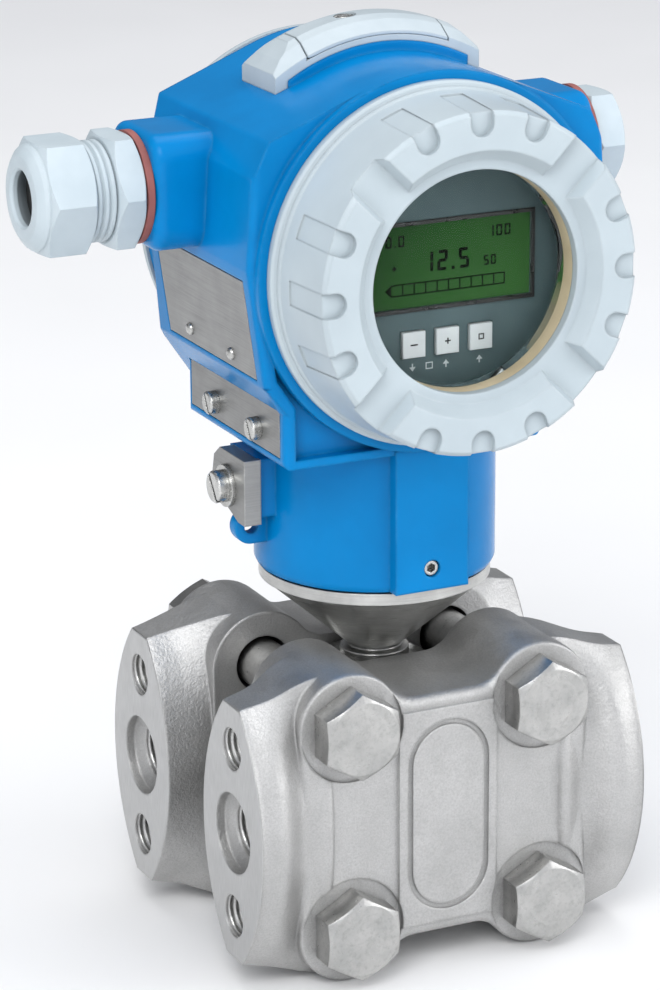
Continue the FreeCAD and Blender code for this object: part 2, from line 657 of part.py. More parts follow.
def body_prism():
    """Body casting before its pockets, with sloped rear corners and rounded edges."""
    prism = body_face().extrude(Y_DIR * (BODY_REAR_Y - BODY_FRONT_Y))
    prism = prism.cut(rear_chamfer(-1)).cut(rear_chamfer(1))
    front = [e for e in prism.Edges if e.BoundBox.YMax < BODY_FRONT_Y + 0.01]
    front = [e for e in front if e.BoundBox.ZMin < AXIS_Z + 20]
    front = [e for e in front if e.BoundBox.ZMax > BLOCK_BOTTOM_Z + 1]
    along = [e for e in prism.Edges if e.BoundBox.YLength > 40 and e.BoundBox.ZMin > AXIS_Z + 20
             and abs(e.BoundBox.XMin) > 30]
    return prism.makeFillet(BODY_EDGE_ROUND, front + along)


def make_housing():
    """Cast housing: neck, block, two-chamber body, collars, entries, pads and eyelet."""
    body = fuse([body_prism(), body_block()])
    outline = [V(x, BODY_FRONT_Y - 5, z) for x, z in POCKET_RIGHT]
    outline += [V(-x, BODY_FRONT_Y - 5, z) for x, z in reversed(POCKET_LEFT)]
    pocket = extruded(outline, Y_DIR * (POCKET_FLOOR_Y - BODY_FRONT_Y + 5))
    body = body.cut(pocket)
    parts = [body]
    parts.append(cylinder(BODY_RADIUS, COLLAR_FRONT_Y, COLLAR_FRONT_Y + COLLAR_DEPTH, Y_DIR,
                          axis_point()))
    parts.append(cylinder(REAR_COLLAR_RADIUS, BODY_REAR_Y - 2, REAR_COLLAR_Y, Y_DIR, axis_point()))
    neck = [(0, NECK_BOTTOM_Z), (NECK_RADIUS - NECK_BOTTOM_CHAMFER, NECK_BOTTOM_Z),
            (NECK_RADIUS - 0.5, NECK_BOTTOM_Z + 0.5), (NECK_RADIUS, NECK_BOTTOM_Z + NECK_BOTTOM_CHAMFER),
            (NECK_RADIUS, BLOCK_BOTTOM_Z + 4), (0, BLOCK_BOTTOM_Z + 4)]
    parts.append(turned(neck, V(0, 0, 0), X_DIR, Z_DIR))
    parts.append(box((-PAD_BLOCK_HALF_X, PAD_BLOCK_Y, PAD_BLOCK_BOTTOM_Z),
                     (PAD_BLOCK_HALF_X, -21, BLOCK_BOTTOM_Z + 1)))
    parts += [entry_boss(-1, ENTRY_FACE_X), entry_boss(1, RIGHT_ENTRY_FACE_X)]
    sector = cylinder(TOP_PAD_RADIUS, GUARD_FRONT_Y - 0.4, GUARD_REAR_Y + 0.4, Y_DIR, axis_point())
    parts.append(sector.common(guard_span(TOP_PAD_HALF_X)))
    eye = cylinder(EYELET_RADIUS, -EYELET_HALF, EYELET_HALF, Y_DIR, V(EYELET_X, 0, EYELET_Z))
    web = box((EYELET_X, -EYELET_HALF, EYELET_Z - EYELET_RADIUS),
              (-24, EYELET_HALF, EYELET_Z + EYELET_RADIUS))
    parts += [eye, web]
    parts.append(box((GROUND_PAD_X, GROUND_Y - 7.5, GROUND_Z - 6.5),
                     (-22, GROUND_Y + 7.5, GROUND_Z + 7.5)))
    shape = fuse(parts)
    cutters = [
        cylinder(CHAMBER_BORE, -FAR, FRONT_CHAMBER_FLOOR_Y, Y_DIR, axis_point()),
        cylinder(CHAMBER_BORE, REAR_CHAMBER_FLOOR_Y, FAR, Y_DIR, axis_point()),
        cylinder(NECK_BORE, 40, NECK_BORE_TOP_Z, Z_DIR, V(0, 0, 0)),
        cylinder(PASSAGE_RADIUS, NECK_BORE_TOP_Z - 3, 100, Z_DIR, V(0, PASSAGE_Y, 0)),
        cylinder(ENTRY_BORE, 20, FAR, X_DIR, V(0, ENTRY_Y, ENTRY_Z)),
        cylinder(ENTRY_BORE, 20, FAR, -X_DIR, V(0, ENTRY_Y, ENTRY_Z)),
        cylinder(LOCK_SCREW_RADIUS + 0.05, 15, FAR, -Y_DIR, V(0, 0, LOCK_SCREW_Z)),
        cylinder(EYELET_HOLE, -FAR, FAR, Y_DIR, V(EYELET_X, 0, EYELET_Z)),
        cylinder(FEEDTHROUGH_RADIUS + 0.05, -FAR, FAR, Y_DIR, V(FEEDTHROUGH_X, 0, FEEDTHROUGH_Z)),
    ]
    for x in service_key_positions():
        cutters += service_key_holes(x)
    for y in TAG_SCREW_Y:
        cutters.append(cylinder(1.55, 30, FAR, -X_DIR, V(0, y, TAG_SCREW_Z)))
    cutters.append(cylinder(2.05, 22, FAR, -X_DIR, V(0, GROUND_Y, GROUND_Z)))
    for y, z in RIVET_YZ:
        cutters.append(cylinder(0.85, -4, 4, lean_direction()[1], lean_point(y, z)))
    cutters += [name_plate_prism(PLATE_PLAY, 1.0), tag_plate_prism(PLATE_PLAY, 1.0)]
    return shape.cut(Part.Compound(cutters))


def make_lock_screw():
    """Socket set screw that locks the housing's rotation."""
    centre = V(0, 0, LOCK_SCREW_Z)
    face = -PAD_BLOCK_Y - 0.6
    body = turned([(0, face - LOCK_SCREW_LENGTH), (1.2, face - LOCK_SCREW_LENGTH),
                   (LOCK_SCREW_RADIUS, face - LOCK_SCREW_LENGTH + 0.8), (LOCK_SCREW_RADIUS, face - 0.3),
                   (LOCK_SCREW_RADIUS - 0.3, face), (0, face)], centre, Z_DIR, -Y_DIR)
    return body.cut(hexagon(LOCK_SCREW_HEX, face - 2.4, face + 1, -Y_DIR, centre, Z_DIR))


# ------------------------------------------------------------------ covers
def cover_profile(rim_gain, height):
    """Half-section of a cover's outside, from its face round to the thread's inner end."""
    return [(COVER_FACE_RADIUS - COVER_EDGE, height),
            (COVER_FACE_RADIUS, height - COVER_EDGE), (COVER_SIDE_RADIUS, COVER_RIM_HEIGHT + 1.4),
            (COVER_STEP_RADIUS, COVER_RIM_HEIGHT + 1.0), (COVER_STEP_RADIUS, COVER_RIM_HEIGHT + 0.2),
            (COVER_RIM_RADIUS + rim_gain - 0.5, COVER_RIM_HEIGHT),
            (COVER_RIM_RADIUS + rim_gain, COVER_RIM_HEIGHT - 0.6),
            (COVER_RIM_RADIUS + rim_gain, 0), (ORING_RADIUS + ORING_SECTION + 0.3, 0),
            (ORING_RADIUS + ORING_SECTION + 0.3, 1.8), (THREAD_RADIUS, 1.8),
            (THREAD_RADIUS, -THREAD_LENGTH + 1),
            (THREAD_RADIUS - 1, -THREAD_LENGTH), (THREAD_BORE, -THREAD_LENGTH)]


def grip_cutters(outward, base, height, flute_foot, start_angle):
    """Channels, scallops and flutes cut into a cover's face and side."""
    centre = axis_point(base)
    side = FreeCAD.Rotation(outward, start_angle).multVec(Z_DIR)
    slope = (COVER_SIDE_RADIUS - COVER_FACE_RADIUS) / (height - COVER_RIM_HEIGHT - 1.4)
    cutters = []
    half = CHANNEL_WIDTH / 2
    low = height - (COVER_HEIGHT - COVER_FLOOR_HEIGHT)
    for k in range(4):
        spin = FreeCAD.Rotation(outward, 45 + 90 * k)
        out = spin.multVec(side)
        across = outward.cross(out)
        section = [across * -(half + 1.6) + outward * (height + 0.5), across * -half + outward * low,
                   across * half + outward * low, across * (half + 1.6) + outward * (height + 0.5)]
        start = SEGMENT_FOOT_RADIUS - 3
        cutters.append(extruded([centre + p + out * start for p in section], out * 30))
    for k in range(4):
        for tilt in NOTCH_ANGLES:
            spin = FreeCAD.Rotation(outward, 90 * k + tilt)
            out = spin.multVec(side)
            across = outward.cross(out)
            seat = centre + out * NOTCH_CENTRE
            cutters.append(Part.makeCylinder(NOTCH_RADIUS, 5, seat + outward * (height - NOTCH_DEPTH),
                                             outward))
            corner = [seat + across * -NOTCH_RADIUS, seat + across * NOTCH_RADIUS,
                      seat + across * NOTCH_RADIUS + out * 9, seat + across * -NOTCH_RADIUS + out * 9]
            cutters.append(extruded([p + outward * (height - NOTCH_DEPTH) for p in corner], outward * 5))
            foot = COVER_SIDE_RADIUS - slope * (flute_foot - COVER_RIM_HEIGHT - 1.4) - FLUTE_DEPTH
            head = COVER_FACE_RADIUS - FLUTE_DEPTH
            flute = [out * foot + outward * flute_foot, out * 46 + outward * flute_foot,
                     out * 46 + outward * (height + 1), out * head + outward * (height + 1)]
            shift = across * -NOTCH_RADIUS
            cutters.append(extruded([centre + p + shift for p in flute], across * 2 * NOTCH_RADIUS))
    return cutters


def make_front_cover():
    """Screwed window cover with four raised grip segments round the window."""
    outward = -Y_DIR
    centre = axis_point(COLLAR_FRONT_Y)
    profile = [(WINDOW_RADIUS, LIP_HEIGHT), (WINDOW_RADIUS, COVER_FLOOR_HEIGHT),
               (SEGMENT_FOOT_RADIUS, COVER_FLOOR_HEIGHT), (SEGMENT_INNER_RADIUS - 0.6,
                                                           COVER_HEIGHT - 0.7),
               (SEGMENT_INNER_RADIUS, COVER_HEIGHT)]
    profile += cover_profile(0, COVER_HEIGHT)
    profile += [(THREAD_BORE, -2), (CAVITY_RADIUS, 0), (CAVITY_RADIUS, CAVITY_HEIGHT - 1),
                (CAVITY_RADIUS - 1, CAVITY_HEIGHT), (RING_BOSS, CAVITY_HEIGHT), (RING_BOSS, RING_HEIGHT),
                (RING_OUTER, RING_HEIGHT), (RING_OUTER, LIP_HEIGHT)]
    cover = turned(profile, centre, Z_DIR, outward)
    return cover.cut(Part.Compound(grip_cutters(outward, COLLAR_FRONT_Y, COVER_HEIGHT, FLUTE_FOOT,
                                                FRONT_COVER_ANGLE)))


def make_rear_cover():
    """Blind screwed cover of the terminal chamber."""
    outward = Y_DIR
    centre = axis_point(REAR_COLLAR_Y)
    height = REAR_COVER_HEIGHT
    roof = height - REAR_COVER_ROOF
    step = COVER_HEIGHT - COVER_FLOOR_HEIGHT
    profile = [(0, roof - step), (0, height - step), (SEGMENT_FOOT_RADIUS, height - step),
               (SEGMENT_INNER_RADIUS - 0.6, height - 0.7), (SEGMENT_INNER_RADIUS, height)]
    profile += cover_profile(REAR_COVER_RADIUS_GAIN, height)
    profile += [(THREAD_BORE, -2), (CAVITY_RADIUS, 0), (CAVITY_RADIUS, roof - step - 2),
                (CAVITY_RADIUS - 2, roof - step)]
    cover = turned(profile, centre, Z_DIR, outward)
    return cover.cut(Part.Compound(grip_cutters(outward, REAR_COLLAR_Y, height, REAR_FLUTE_FOOT, 0.0)))


def cover_oring(base, outward):
    """Rubber ring under a cover's rim."""
    r, s, cut = ORING_RADIUS, ORING_SECTION, 0.3
    low, high = 0.0, 1.7
    profile = [(r - s, low + cut), (r - s + cut, low), (r + s - cut, low), (r + s, low + cut),
               (r + s, high - cut), (r + s - cut, high), (r - s + cut, high), (r - s, high - cut)]
    return turned(profile, axis_point(base), Z_DIR, outward)


def make_window_glass():
    """Round toughened pane."""
    return cylinder(GLASS_RADIUS, GLASS_BACK, GLASS_FRONT, -Y_DIR, axis_point(COLLAR_FRONT_Y))


def make_window_ring():
    """Cream cement ring that holds the pane in the cover."""
    low, high = RING_HEIGHT, LIP_HEIGHT
    profile = [(WINDOW_RADIUS, low), (RING_OUTER, low), (RING_OUTER, high), (WINDOW_RADIUS, high)]
    return turned(profile, axis_point(COLLAR_FRONT_Y), Z_DIR, -Y_DIR)


# ------------------------------------------------------------------ display and electronics
def display_key_positions():
    """X of the three keys on the display."""
    return [-KEY_PITCH, 0.0, KEY_PITCH]


def make_display_body():
    """Dark plastic puck with the display's recess and key openings."""
    back = DISPLAY_Y + DISPLAY_DEPTH
    body = turned([(0, DISPLAY_Y), (DISPLAY_RADIUS - 0.6, DISPLAY_Y), (DISPLAY_RADIUS, DISPLAY_Y + 0.6),
                   (DISPLAY_RADIUS, back), (0, back)], axis_point(), Z_DIR, Y_DIR)
    cutters = [box((-LCD_HALF_X, DISPLAY_Y - 1, LCD_BOTTOM_Z),
                   (LCD_HALF_X, DISPLAY_Y + LCD_SINK + LCD_DEPTH, LCD_TOP_Z))]
    for x in display_key_positions():
        cutters.append(box((x - KEY_HALF_X - KEY_PLAY, DISPLAY_Y - 1, KEY_Z - KEY_HALF_Z - KEY_PLAY),
                           (x + KEY_HALF_X + KEY_PLAY, DISPLAY_Y + KEY_DEPTH + 1.2,
                            KEY_Z + KEY_HALF_Z + KEY_PLAY)))
    return body.cut(Part.Compound(cutters))


def make_display_lcd():
    """Liquid-crystal panel lying in the display's recess."""
    return box((-LCD_HALF_X, DISPLAY_Y + LCD_SINK, LCD_BOTTOM_Z),
               (LCD_HALF_X, DISPLAY_Y + LCD_SINK + LCD_DEPTH, LCD_TOP_Z))


def make_display_key(x):
    """One square key of the display."""
    return box((x - KEY_HALF_X, DISPLAY_Y - KEY_PROUD, KEY_Z - KEY_HALF_Z),
               (x + KEY_HALF_X, DISPLAY_Y + KEY_DEPTH, KEY_Z + KEY_HALF_Z))


def make_electronics_module():
    """Potted electronics cup behind the display on three posts."""
    cup = turned([(0, MODULE_FRONT_Y + 1.4), (MODULE_RADIUS - 2, MODULE_FRONT_Y + 1.4),
                  (MODULE_RADIUS - 2, MODULE_FRONT_Y),
                  (MODULE_RADIUS, MODULE_FRONT_Y), (MODULE_RADIUS, FRONT_CHAMBER_FLOOR_Y - 2),
                  (MODULE_RADIUS - 2, FRONT_CHAMBER_FLOOR_Y), (0, FRONT_CHAMBER_FLOOR_Y)],
                 axis_point(), Z_DIR, Y_DIR)
    parts = [cup]
    for angle in (30, 150, 270):
        turn = math.radians(angle)
        centre = axis_point() + V(math.cos(turn), 0, math.sin(turn)) * MODULE_POST_CIRCLE
        parts.append(cylinder(MODULE_POST_RADIUS, MODULE_FRONT_Y - 1.6, MODULE_FRONT_Y + 3, Y_DIR,
                              centre))
    return fuse(parts)


def terminal_positions():
    """X of the terminals in the rear chamber."""
    return [(k - (TERMINAL_COUNT - 1) / 2) * TERMINAL_PITCH for k in range(TERMINAL_COUNT)]


def make_terminal_block():
    """Five-pole terminal block on the partition."""
    low = REAR_CHAMBER_FLOOR_Y
    high = low + TERMINAL_DEPTH
    block = box((-TERMINAL_HALF_X, low, TERMINAL_Z - TERMINAL_HALF_Z),
                (TERMINAL_HALF_X, high, TERMINAL_Z + TERMINAL_HALF_Z))
    cutters = []
    for x in terminal_positions():
        cutters.append(cylinder(TERMINAL_SCREW + 0.5, high - 6, high + 1, Y_DIR, V(x, 0, TERMINAL_Z + 2)))
        cutters.append(box((x - 2, high - 9, TERMINAL_Z - TERMINAL_HALF_Z - 1),
                           (x + 2, high - 5, TERMINAL_Z - 3)))
    return block.cut(Part.Compound(cutters))


def slotted_head(radius, start, end, direction, centre, slot_direction, slot_width, slot_depth):
    """Cheese head with a straight slot."""
    head = turned([(0, start), (radius, start), (radius, end - 0.4), (radius - 0.4, end), (0, end)],
                  centre, slot_direction, direction)
    across = direction.cross(slot_direction)
    base = centre + direction * (end - slot_depth)
    corners = [base + across * -slot_width / 2 + slot_direction * -FAR / 20,
               base + across * slot_width / 2 + slot_direction * -FAR / 20,
               base + across * slot_width / 2 + slot_direction * FAR / 20,
               base + across * -slot_width / 2 + slot_direction * FAR / 20]
    return head.cut(extruded(corners, direction * 10))


def make_terminal_screws():
    """Five slotted terminal screws."""
    high = REAR_CHAMBER_FLOOR_Y + TERMINAL_DEPTH
    solids = []
    for x in terminal_positions():
        solids.append(slotted_head(TERMINAL_SCREW, high - 6, high - 0.8, Y_DIR, V(x, 0, TERMINAL_Z + 2),
                                   X_DIR, 0.8, 1.2))
    return Part.Compound(solids)


def make_feedthrough():
    """Potted filter feedthrough in the partition with its pins."""
    centre = V(FEEDTHROUGH_X, 0, FEEDTHROUGH_Z)
    parts = [cylinder(FEEDTHROUGH_RADIUS, FRONT_CHAMBER_FLOOR_Y, REAR_CHAMBER_FLOOR_Y + 1.5, Y_DIR,
                      centre)]
    for x in (-1.8, 1.8):
        parts.append(cylinder(0.6, REAR_CHAMBER_FLOOR_Y, REAR_CHAMBER_FLOOR_Y + 6, Y_DIR,
                              centre + V(x, 0, 0)))
    return fuse(parts)


# ------------------------------------------------------------------ key guard on the top
def service_key_positions():
    """X of the three keys under the guard's flap."""
    return [SERVICE_MIDDLE_X + k * SERVICE_PITCH for k in (-1, 0, 1)]


def service_key_holes(x):
    """Stem hole and cap pocket of one service key."""
    centre = V(x, SERVICE_Y, AXIS_Z)
    return [cylinder(SERVICE_STEM + SERVICE_PLAY, SERVICE_HOLE_FLOOR, 60, Z_DIR, centre),
            cylinder(SERVICE_CAP + SERVICE_PLAY, SERVICE_POCKET_FLOOR, 60, Z_DIR, centre)]


def make_service_key(x):
    """One push key: stem with a round cap standing proud of the guard's plate."""
    centre = V(x, SERVICE_Y, AXIS_Z)
    plate = math.sqrt(GUARD_PLATE_RADIUS ** 2 - x ** 2)
    stem = cylinder(SERVICE_STEM, SERVICE_STEM_FLOOR, plate, Z_DIR, centre)
    low = plate - SERVICE_CAP_SINK
    high = plate + SERVICE_CAP_RISE
    cap = turned([(0, low), (SERVICE_CAP, low), (SERVICE_CAP, high - 0.4), (SERVICE_CAP - 0.4, high),
                  (0, high)],
                 centre, X_DIR, Z_DIR)
    return fuse([stem, cap])


def guard_span(half_x):
    """Space above the covers' axis between two upright planes round the guard's middle."""
    return box((GUARD_MIDDLE_X - half_x, -FAR, AXIS_Z + 30), (GUARD_MIDDLE_X + half_x, FAR, FAR))


def guard_hood(inner_radius, inset):
    """Curved hood over the housing's top with sloping long edges."""
    front = GUARD_FRONT_Y + inset
    rear = GUARD_REAR_Y - inset
    edge = GUARD_EDGE_RADIUS - inset
    top = GUARD_RADIUS - inset
    profile = [(inner_radius, front), (edge, front), (top - 0.8, front + 3.6), (top, front + 6.2),
               (top, rear - 6.2), (top - 0.8, rear - 3.6), (edge, rear), (inner_radius, rear)]
    ring = turned(profile, axis_point(), Z_DIR, Y_DIR)
    return ring.common(guard_span(GUARD_HALF_X))


def flap_region(half_x, radius):
    """Space above the given radius between two upright planes."""
    drum = cylinder(radius, -FAR, FAR, Y_DIR, axis_point())
    return guard_span(half_x).cut(drum)


def end_crop(side):
    """Cutter that slopes off the top of one end of the guard."""
    end_x = GUARD_MIDDLE_X + side * GUARD_HALF_X
    end_z = AXIS_Z + math.sqrt(GUARD_RADIUS ** 2 - end_x ** 2)
    corners = [V(end_x + side, -FAR / 2, end_z + 6), V(end_x + side, -FAR / 2, end_z - GUARD_END_DROP),
               V(end_x, -FAR / 2, end_z - GUARD_END_DROP * 0.6),
               V(end_x - side * GUARD_END_RUN * 0.4, -FAR / 2, end_z),
               V(end_x - side * GUARD_END_RUN, -FAR / 2, end_z + 3.2), V
               (end_x - side * GUARD_END_RUN, -FAR / 2, end_z + 6)]
    return extruded(corners, Y_DIR * FAR)


def make_guard_base():
    """Fixed part of the key guard: curved plate with a cheek at each end."""
    hood = guard_hood(BODY_RADIUS, 0)
    cutters = [end_crop(-1), end_crop(1), flap_region(FLAP_HALF_X + FLAP_PLAY, GUARD_PLATE_RADIUS)]
    pad = cylinder(TOP_PAD_RADIUS, -FAR, FAR, Y_DIR, axis_point())
    cutters.append(pad.common(guard_span(TOP_PAD_HALF_X)))
    cutters.append(body_face().extrude(Y_DIR * (BODY_REAR_Y - BODY_FRONT_Y)))
    for x in service_key_positions():
        cutters += service_key_holes(x)
    return hood.cut(Part.Compound(cutters))


def make_guard_flap():
    """Hinged flap of the key guard, hollow over the keys."""
    shell = guard_hood(GUARD_PLATE_RADIUS + FLAP_GAP,
                       0).common(flap_region(FLAP_HALF_X, GUARD_PLATE_RADIUS))
    hollow = guard_hood(GUARD_PLATE_RADIUS - 2, FLAP_WALL)
    hollow = hollow.common(flap_region(FLAP_HALF_X - FLAP_WALL, GUARD_PLATE_RADIUS - 3))
    hole = cylinder(GUARD_SCREW_HEAD + 0.05, 40, 60, Z_DIR, V(GUARD_SCREW_X, SERVICE_Y, AXIS_Z))
    boss = cylinder(GUARD_SCREW_HEAD + 0.6, 40, 60, Z_DIR,
                    V(GUARD_SCREW_X, SERVICE_Y, AXIS_Z)).common(shell)
    pivot_x, pivot_z = FLAP_PIVOT
    heel = box((pivot_x - 1, -FAR, pivot_z - 10), (pivot_x + FLAP_HEEL_RUN, FAR, pivot_z))
    heel = heel.cut(cylinder(FLAP_HEEL_RADIUS, -FAR, FAR, Y_DIR, V(pivot_x, 0, pivot_z)))
    return fuse([shell.cut(hollow), boss]).cut(hole).cut(heel)


def make_guard_screw():
    """Captive slotted screw in the flap."""
    centre = V(GUARD_SCREW_X, SERVICE_Y, AXIS_Z)
    low = math.sqrt(GUARD_PLATE_RADIUS ** 2 - GUARD_SCREW_X ** 2) + 0.6
    high = math.sqrt(GUARD_RADIUS ** 2 - GUARD_SCREW_X ** 2) - 0.1
    return slotted_head(GUARD_SCREW_HEAD, low, high, Z_DIR, centre, X_DIR, 0.8, 1.0)


# ------------------------------------------------------------------ plates and small fittings
def lean_direction():
    """Unit vectors up along the left side's leaning face and outward from it."""
    up = V(LEAN_FOOT[0] - LEAN_HEAD[0], 0, LEAN_HEAD[1] - LEAN_FOOT[1])
    up.normalize()
    return up, V(-up.z, 0, up.x)


def lean_point(y, z):
    """Point on the left side's leaning face."""
    share = (z - LEAN_FOOT[1]) / (LEAN_HEAD[1] - LEAN_FOOT[1])
    return V(-(LEAN_FOOT[0] + share * (LEAN_HEAD[0] - LEAN_FOOT[0])), y, z)


def name_plate_prism(play, rise):
    """Name plate's outline, widened by play, from its recess floor to rise above its top."""
    out = lean_direction()[1]
    low_y, high_y = NAME_PLATE_Y[0] - play, NAME_PLATE_Y[1] + play
    low_z, high_z = NAME_PLATE_Z[0] - play, NAME_PLATE_Z[1] + play
    corners = [lean_point(y, z) - out * PLATE_THICKNESS
               for y, z in ((low_y, low_z), (high_y, low_z), (high_y, high_z), (low_y, high_z))]
    return extruded(corners, out * (PLATE_THICKNESS + rise))


def make_name_plate():
    """Bare stainless plate let into the leaning side face."""
    out = lean_direction()[1]
    plate = name_plate_prism(0, 0)
    holes = [cylinder(0.85, -3, 3, out, lean_point(y, z)) for y, z in RIVET_YZ]
    return plate.cut(Part.Compound(holes))


def make_rivets():
    """Two dome-headed drive rivets of the name plate."""
    out, up = lean_direction()[1], lean_direction()[0]
    solids = []
    for y, z in RIVET_YZ:
        base = lean_point(y, z)
        solids.append(turned([(0, -2.3), (0.8, -2.3), (0.8, 0), (RIVET_RADIUS, 0),
                              (RIVET_RADIUS * 0.9, 0.5),
                              (RIVET_RADIUS * 0.6, 0.9), (0, RIVET_HEIGHT)], base, up, out))
    return Part.Compound(solids)


def tag_plate_prism(play, rise):
    """Tag plate's outline, widened by play, from its recess floor to rise above its top."""
    return box((-BLOCK_X - rise, TAG_PLATE_Y[0] - play, TAG_PLATE_Z[0] - play),
               (-BLOCK_X + PLATE_THICKNESS, TAG_PLATE_Y[1] + play, TAG_PLATE_Z[1] + play))


def make_tag_plate():
    """Bare stainless tag plate let into the housing's block."""
    plate = tag_plate_prism(0, 0)
    holes = [cylinder(1.55, -FAR, FAR, X_DIR, V(0, y, TAG_SCREW_Z)) for y in TAG_SCREW_Y]
    return plate.cut(Part.Compound(holes))


def make_tag_screws():
    """Two slotted cheese-head screws of the tag plate."""
    solids = []
    top = BLOCK_X
    for y in TAG_SCREW_Y:
        centre = V(0, y, TAG_SCREW_Z)
        head = slotted_head(TAG_SCREW_RADIUS, top, top + TAG_SCREW_HEIGHT, -X_DIR, centre,
                            V(0, 0.5, 0.866), 0.8, 1.0)
        solids.append(fuse([head, cylinder(1.5, top - 5, top + 0.5, -X_DIR, centre)]))
    return Part.Compound(solids)


def make_ground_clamp():
    """Bent steel clamp of the outer ground terminal."""
    face = -GROUND_PAD_X
    low, high = face + 2.8, face + 4.2
    y, z = GROUND_Y, GROUND_Z
    outline = [(y - 9.6, z + 8.2), (y - 9.6, z - 7.4), (y - 6.0, z - 7.4), (y + 6.4, z - 3.0),
               (y + 8.6, z + 0.8), (y + 7.4, z + 5.6), (y + 4.0, z + 8.2)]
    plate = extruded([V(-low, p, q) for p, q in outline], X_DIR * (low - high))
    front = box((-high, y - 9.6, z - 7.4), (-face, y - 8.2, z + 8.2))
    top = box((-high, y - 9.6, z + 6.8), (-face - 0.6, y + 4.0, z + 8.2))
    return fuse([plate, front, top]).cut(cylinder(2.2, 20, FAR, -X_DIR, V(0, y, z)))


def make_ground_washer():
    """Washer under the ground screw's head."""
    top = -GROUND_PAD_X + 4.2
    ring = cylinder(5.0, top, top + 1.0, -X_DIR, V(0, GROUND_Y, GROUND_Z))
    return ring.cut(cylinder(2.2, 20, FAR, -X_DIR, V(0, GROUND_Y, GROUND_Z)))


def make_ground_screw():
    """Slotted screw of the outer ground terminal."""
    centre = V(0, GROUND_Y, GROUND_Z)
    top = -GROUND_PAD_X + 5.2
    head = slotted_head(3.8, top, top + 2.8, -X_DIR, centre, V(0, 0.6, 0.8), 1.1, 1.3)
    return fuse([head, cylinder(2.0, top - 12, top + 0.5, -X_DIR, centre)])


# ------------------------------------------------------------------ cable entries
def entry_centre():
    """Point on the cable entries' common axis."""
    return V(0, ENTRY_Y, ENTRY_Z)


def make_entry_seals():
    """Two flat sealing rings under the gland and the blind plug."""
    solids = []
    for direction, face in ((-X_DIR, ENTRY_FACE_X), (X_DIR, RIGHT_ENTRY_FACE_X)):
        ring = cylinder(SEAL_RADIUS, face, face + SEAL_THICKNESS, direction, entry_centre())
        solids.append(ring.cut(cylinder(GLAND_SPIGOT_RADIUS + 0.3, 0, FAR, direction, entry_centre())))
    return Part.Compound(solids)


def make_gland_body():
    """Cable gland's screwed body: spigot, hexagon collar, ribbed neck and clamping thread."""
    face = ENTRY_FACE_X + SEAL_THICKNESS
    collar_end = face + GLAND_COLLAR
    collar = chamfered_hexagon(GLAND_FLATS, face, collar_end, -X_DIR, entry_centre(), Y_DIR, (True, True))
    rib = (GLAND_NECK_END_X - collar_end) / 3
    neck = [(0, collar_end - 1), (GLAND_NECK_RADIUS, collar_end - 1)]
    for k in range(3):
        start = collar_end + k * rib
        neck += [(GLAND_NECK_RADIUS, start), (GLAND_RIB_RADIUS, start + rib * 0.25),
                 (GLAND_RIB_RADIUS, start + rib * 0.7), (GLAND_NECK_RADIUS, start + rib * 0.95)]
    neck += [(GLAND_NECK_RADIUS, GLAND_NECK_END_X), (GLAND_THREAD_RADIUS, GLAND_NECK_END_X),
             (GLAND_THREAD_RADIUS, GLAND_THREAD_END_X), (0, GLAND_THREAD_END_X)]
    parts = [collar, turned(neck, entry_centre(), Y_DIR, -X_DIR),
             cylinder(GLAND_SPIGOT_RADIUS, face - GLAND_SPIGOT_LENGTH, face + 1, -X_DIR, entry_centre())]
    body = fuse(parts)
    seat = cylinder(INSERT_RADIUS + 0.3, GLAND_THREAD_END_X - 2.5, FAR, -X_DIR, entry_centre())
    return body.cut(cylinder(GLAND_BORE, 0, FAR, -X_DIR, entry_centre())).cut(seat)


def make_gland_insert():
    """Rubber sealing insert of the gland."""
    start = GLAND_THREAD_END_X - 2.4
    end = start + INSERT_LENGTH
    profile = [(INSERT_BORE, start), (INSERT_RADIUS - 0.6, start), (INSERT_RADIUS, start + 0.8),
               (INSERT_RADIUS, end - 3.0), (NUT_MOUTH + 0.6, end),
               (INSERT_BORE + 0.8, end), (INSERT_BORE, end - 0.8)]
    return turned(profile, entry_centre(), Y_DIR, -X_DIR)


def make_gland_nut():
    """Dome-nosed clamping nut of the gland."""
    start = GLAND_NECK_END_X
    hexagon_part = chamfered_hexagon(GLAND_FLATS, start, NUT_HEX_END_X, -X_DIR, entry_centre(), Y_DIR,
                                     (True, True))
    half = GLAND_FLATS / 2
    run = NUT_END_X - NUT_HEX_END_X
    nose = [(0, NUT_HEX_END_X - 1), (half - 0.3, NUT_HEX_END_X - 1),
            (half - 0.3, NUT_HEX_END_X + run * 0.15),
            (half - 0.9, NUT_HEX_END_X + run * 0.45), (half - 2.0, NUT_HEX_END_X + run * 0.75),
            (NUT_FACE_RADIUS + 0.6, NUT_HEX_END_X + run * 0.95), (NUT_FACE_RADIUS - 0.6, NUT_END_X),
            (0, NUT_END_X)]
    solid = fuse([hexagon_part, turned(nose, entry_centre(), Y_DIR, -X_DIR)])
    bore = [(0, start - 1), (NUT_BORE, start - 1), (NUT_BORE, NUT_HEX_END_X - 3.0),
            (NUT_MOUTH + 1.0, NUT_END_X - 2.8),
            (NUT_MOUTH, NUT_END_X - 1.6), (NUT_MOUTH, NUT_END_X - 0.6), (NUT_MOUTH + 0.6, NUT_END_X),
            (NUT_MOUTH + 0.6, NUT_END_X + 1), (0, NUT_END_X + 1)]
    return solid.cut(turned(bore, entry_centre(), Y_DIR, -X_DIR))


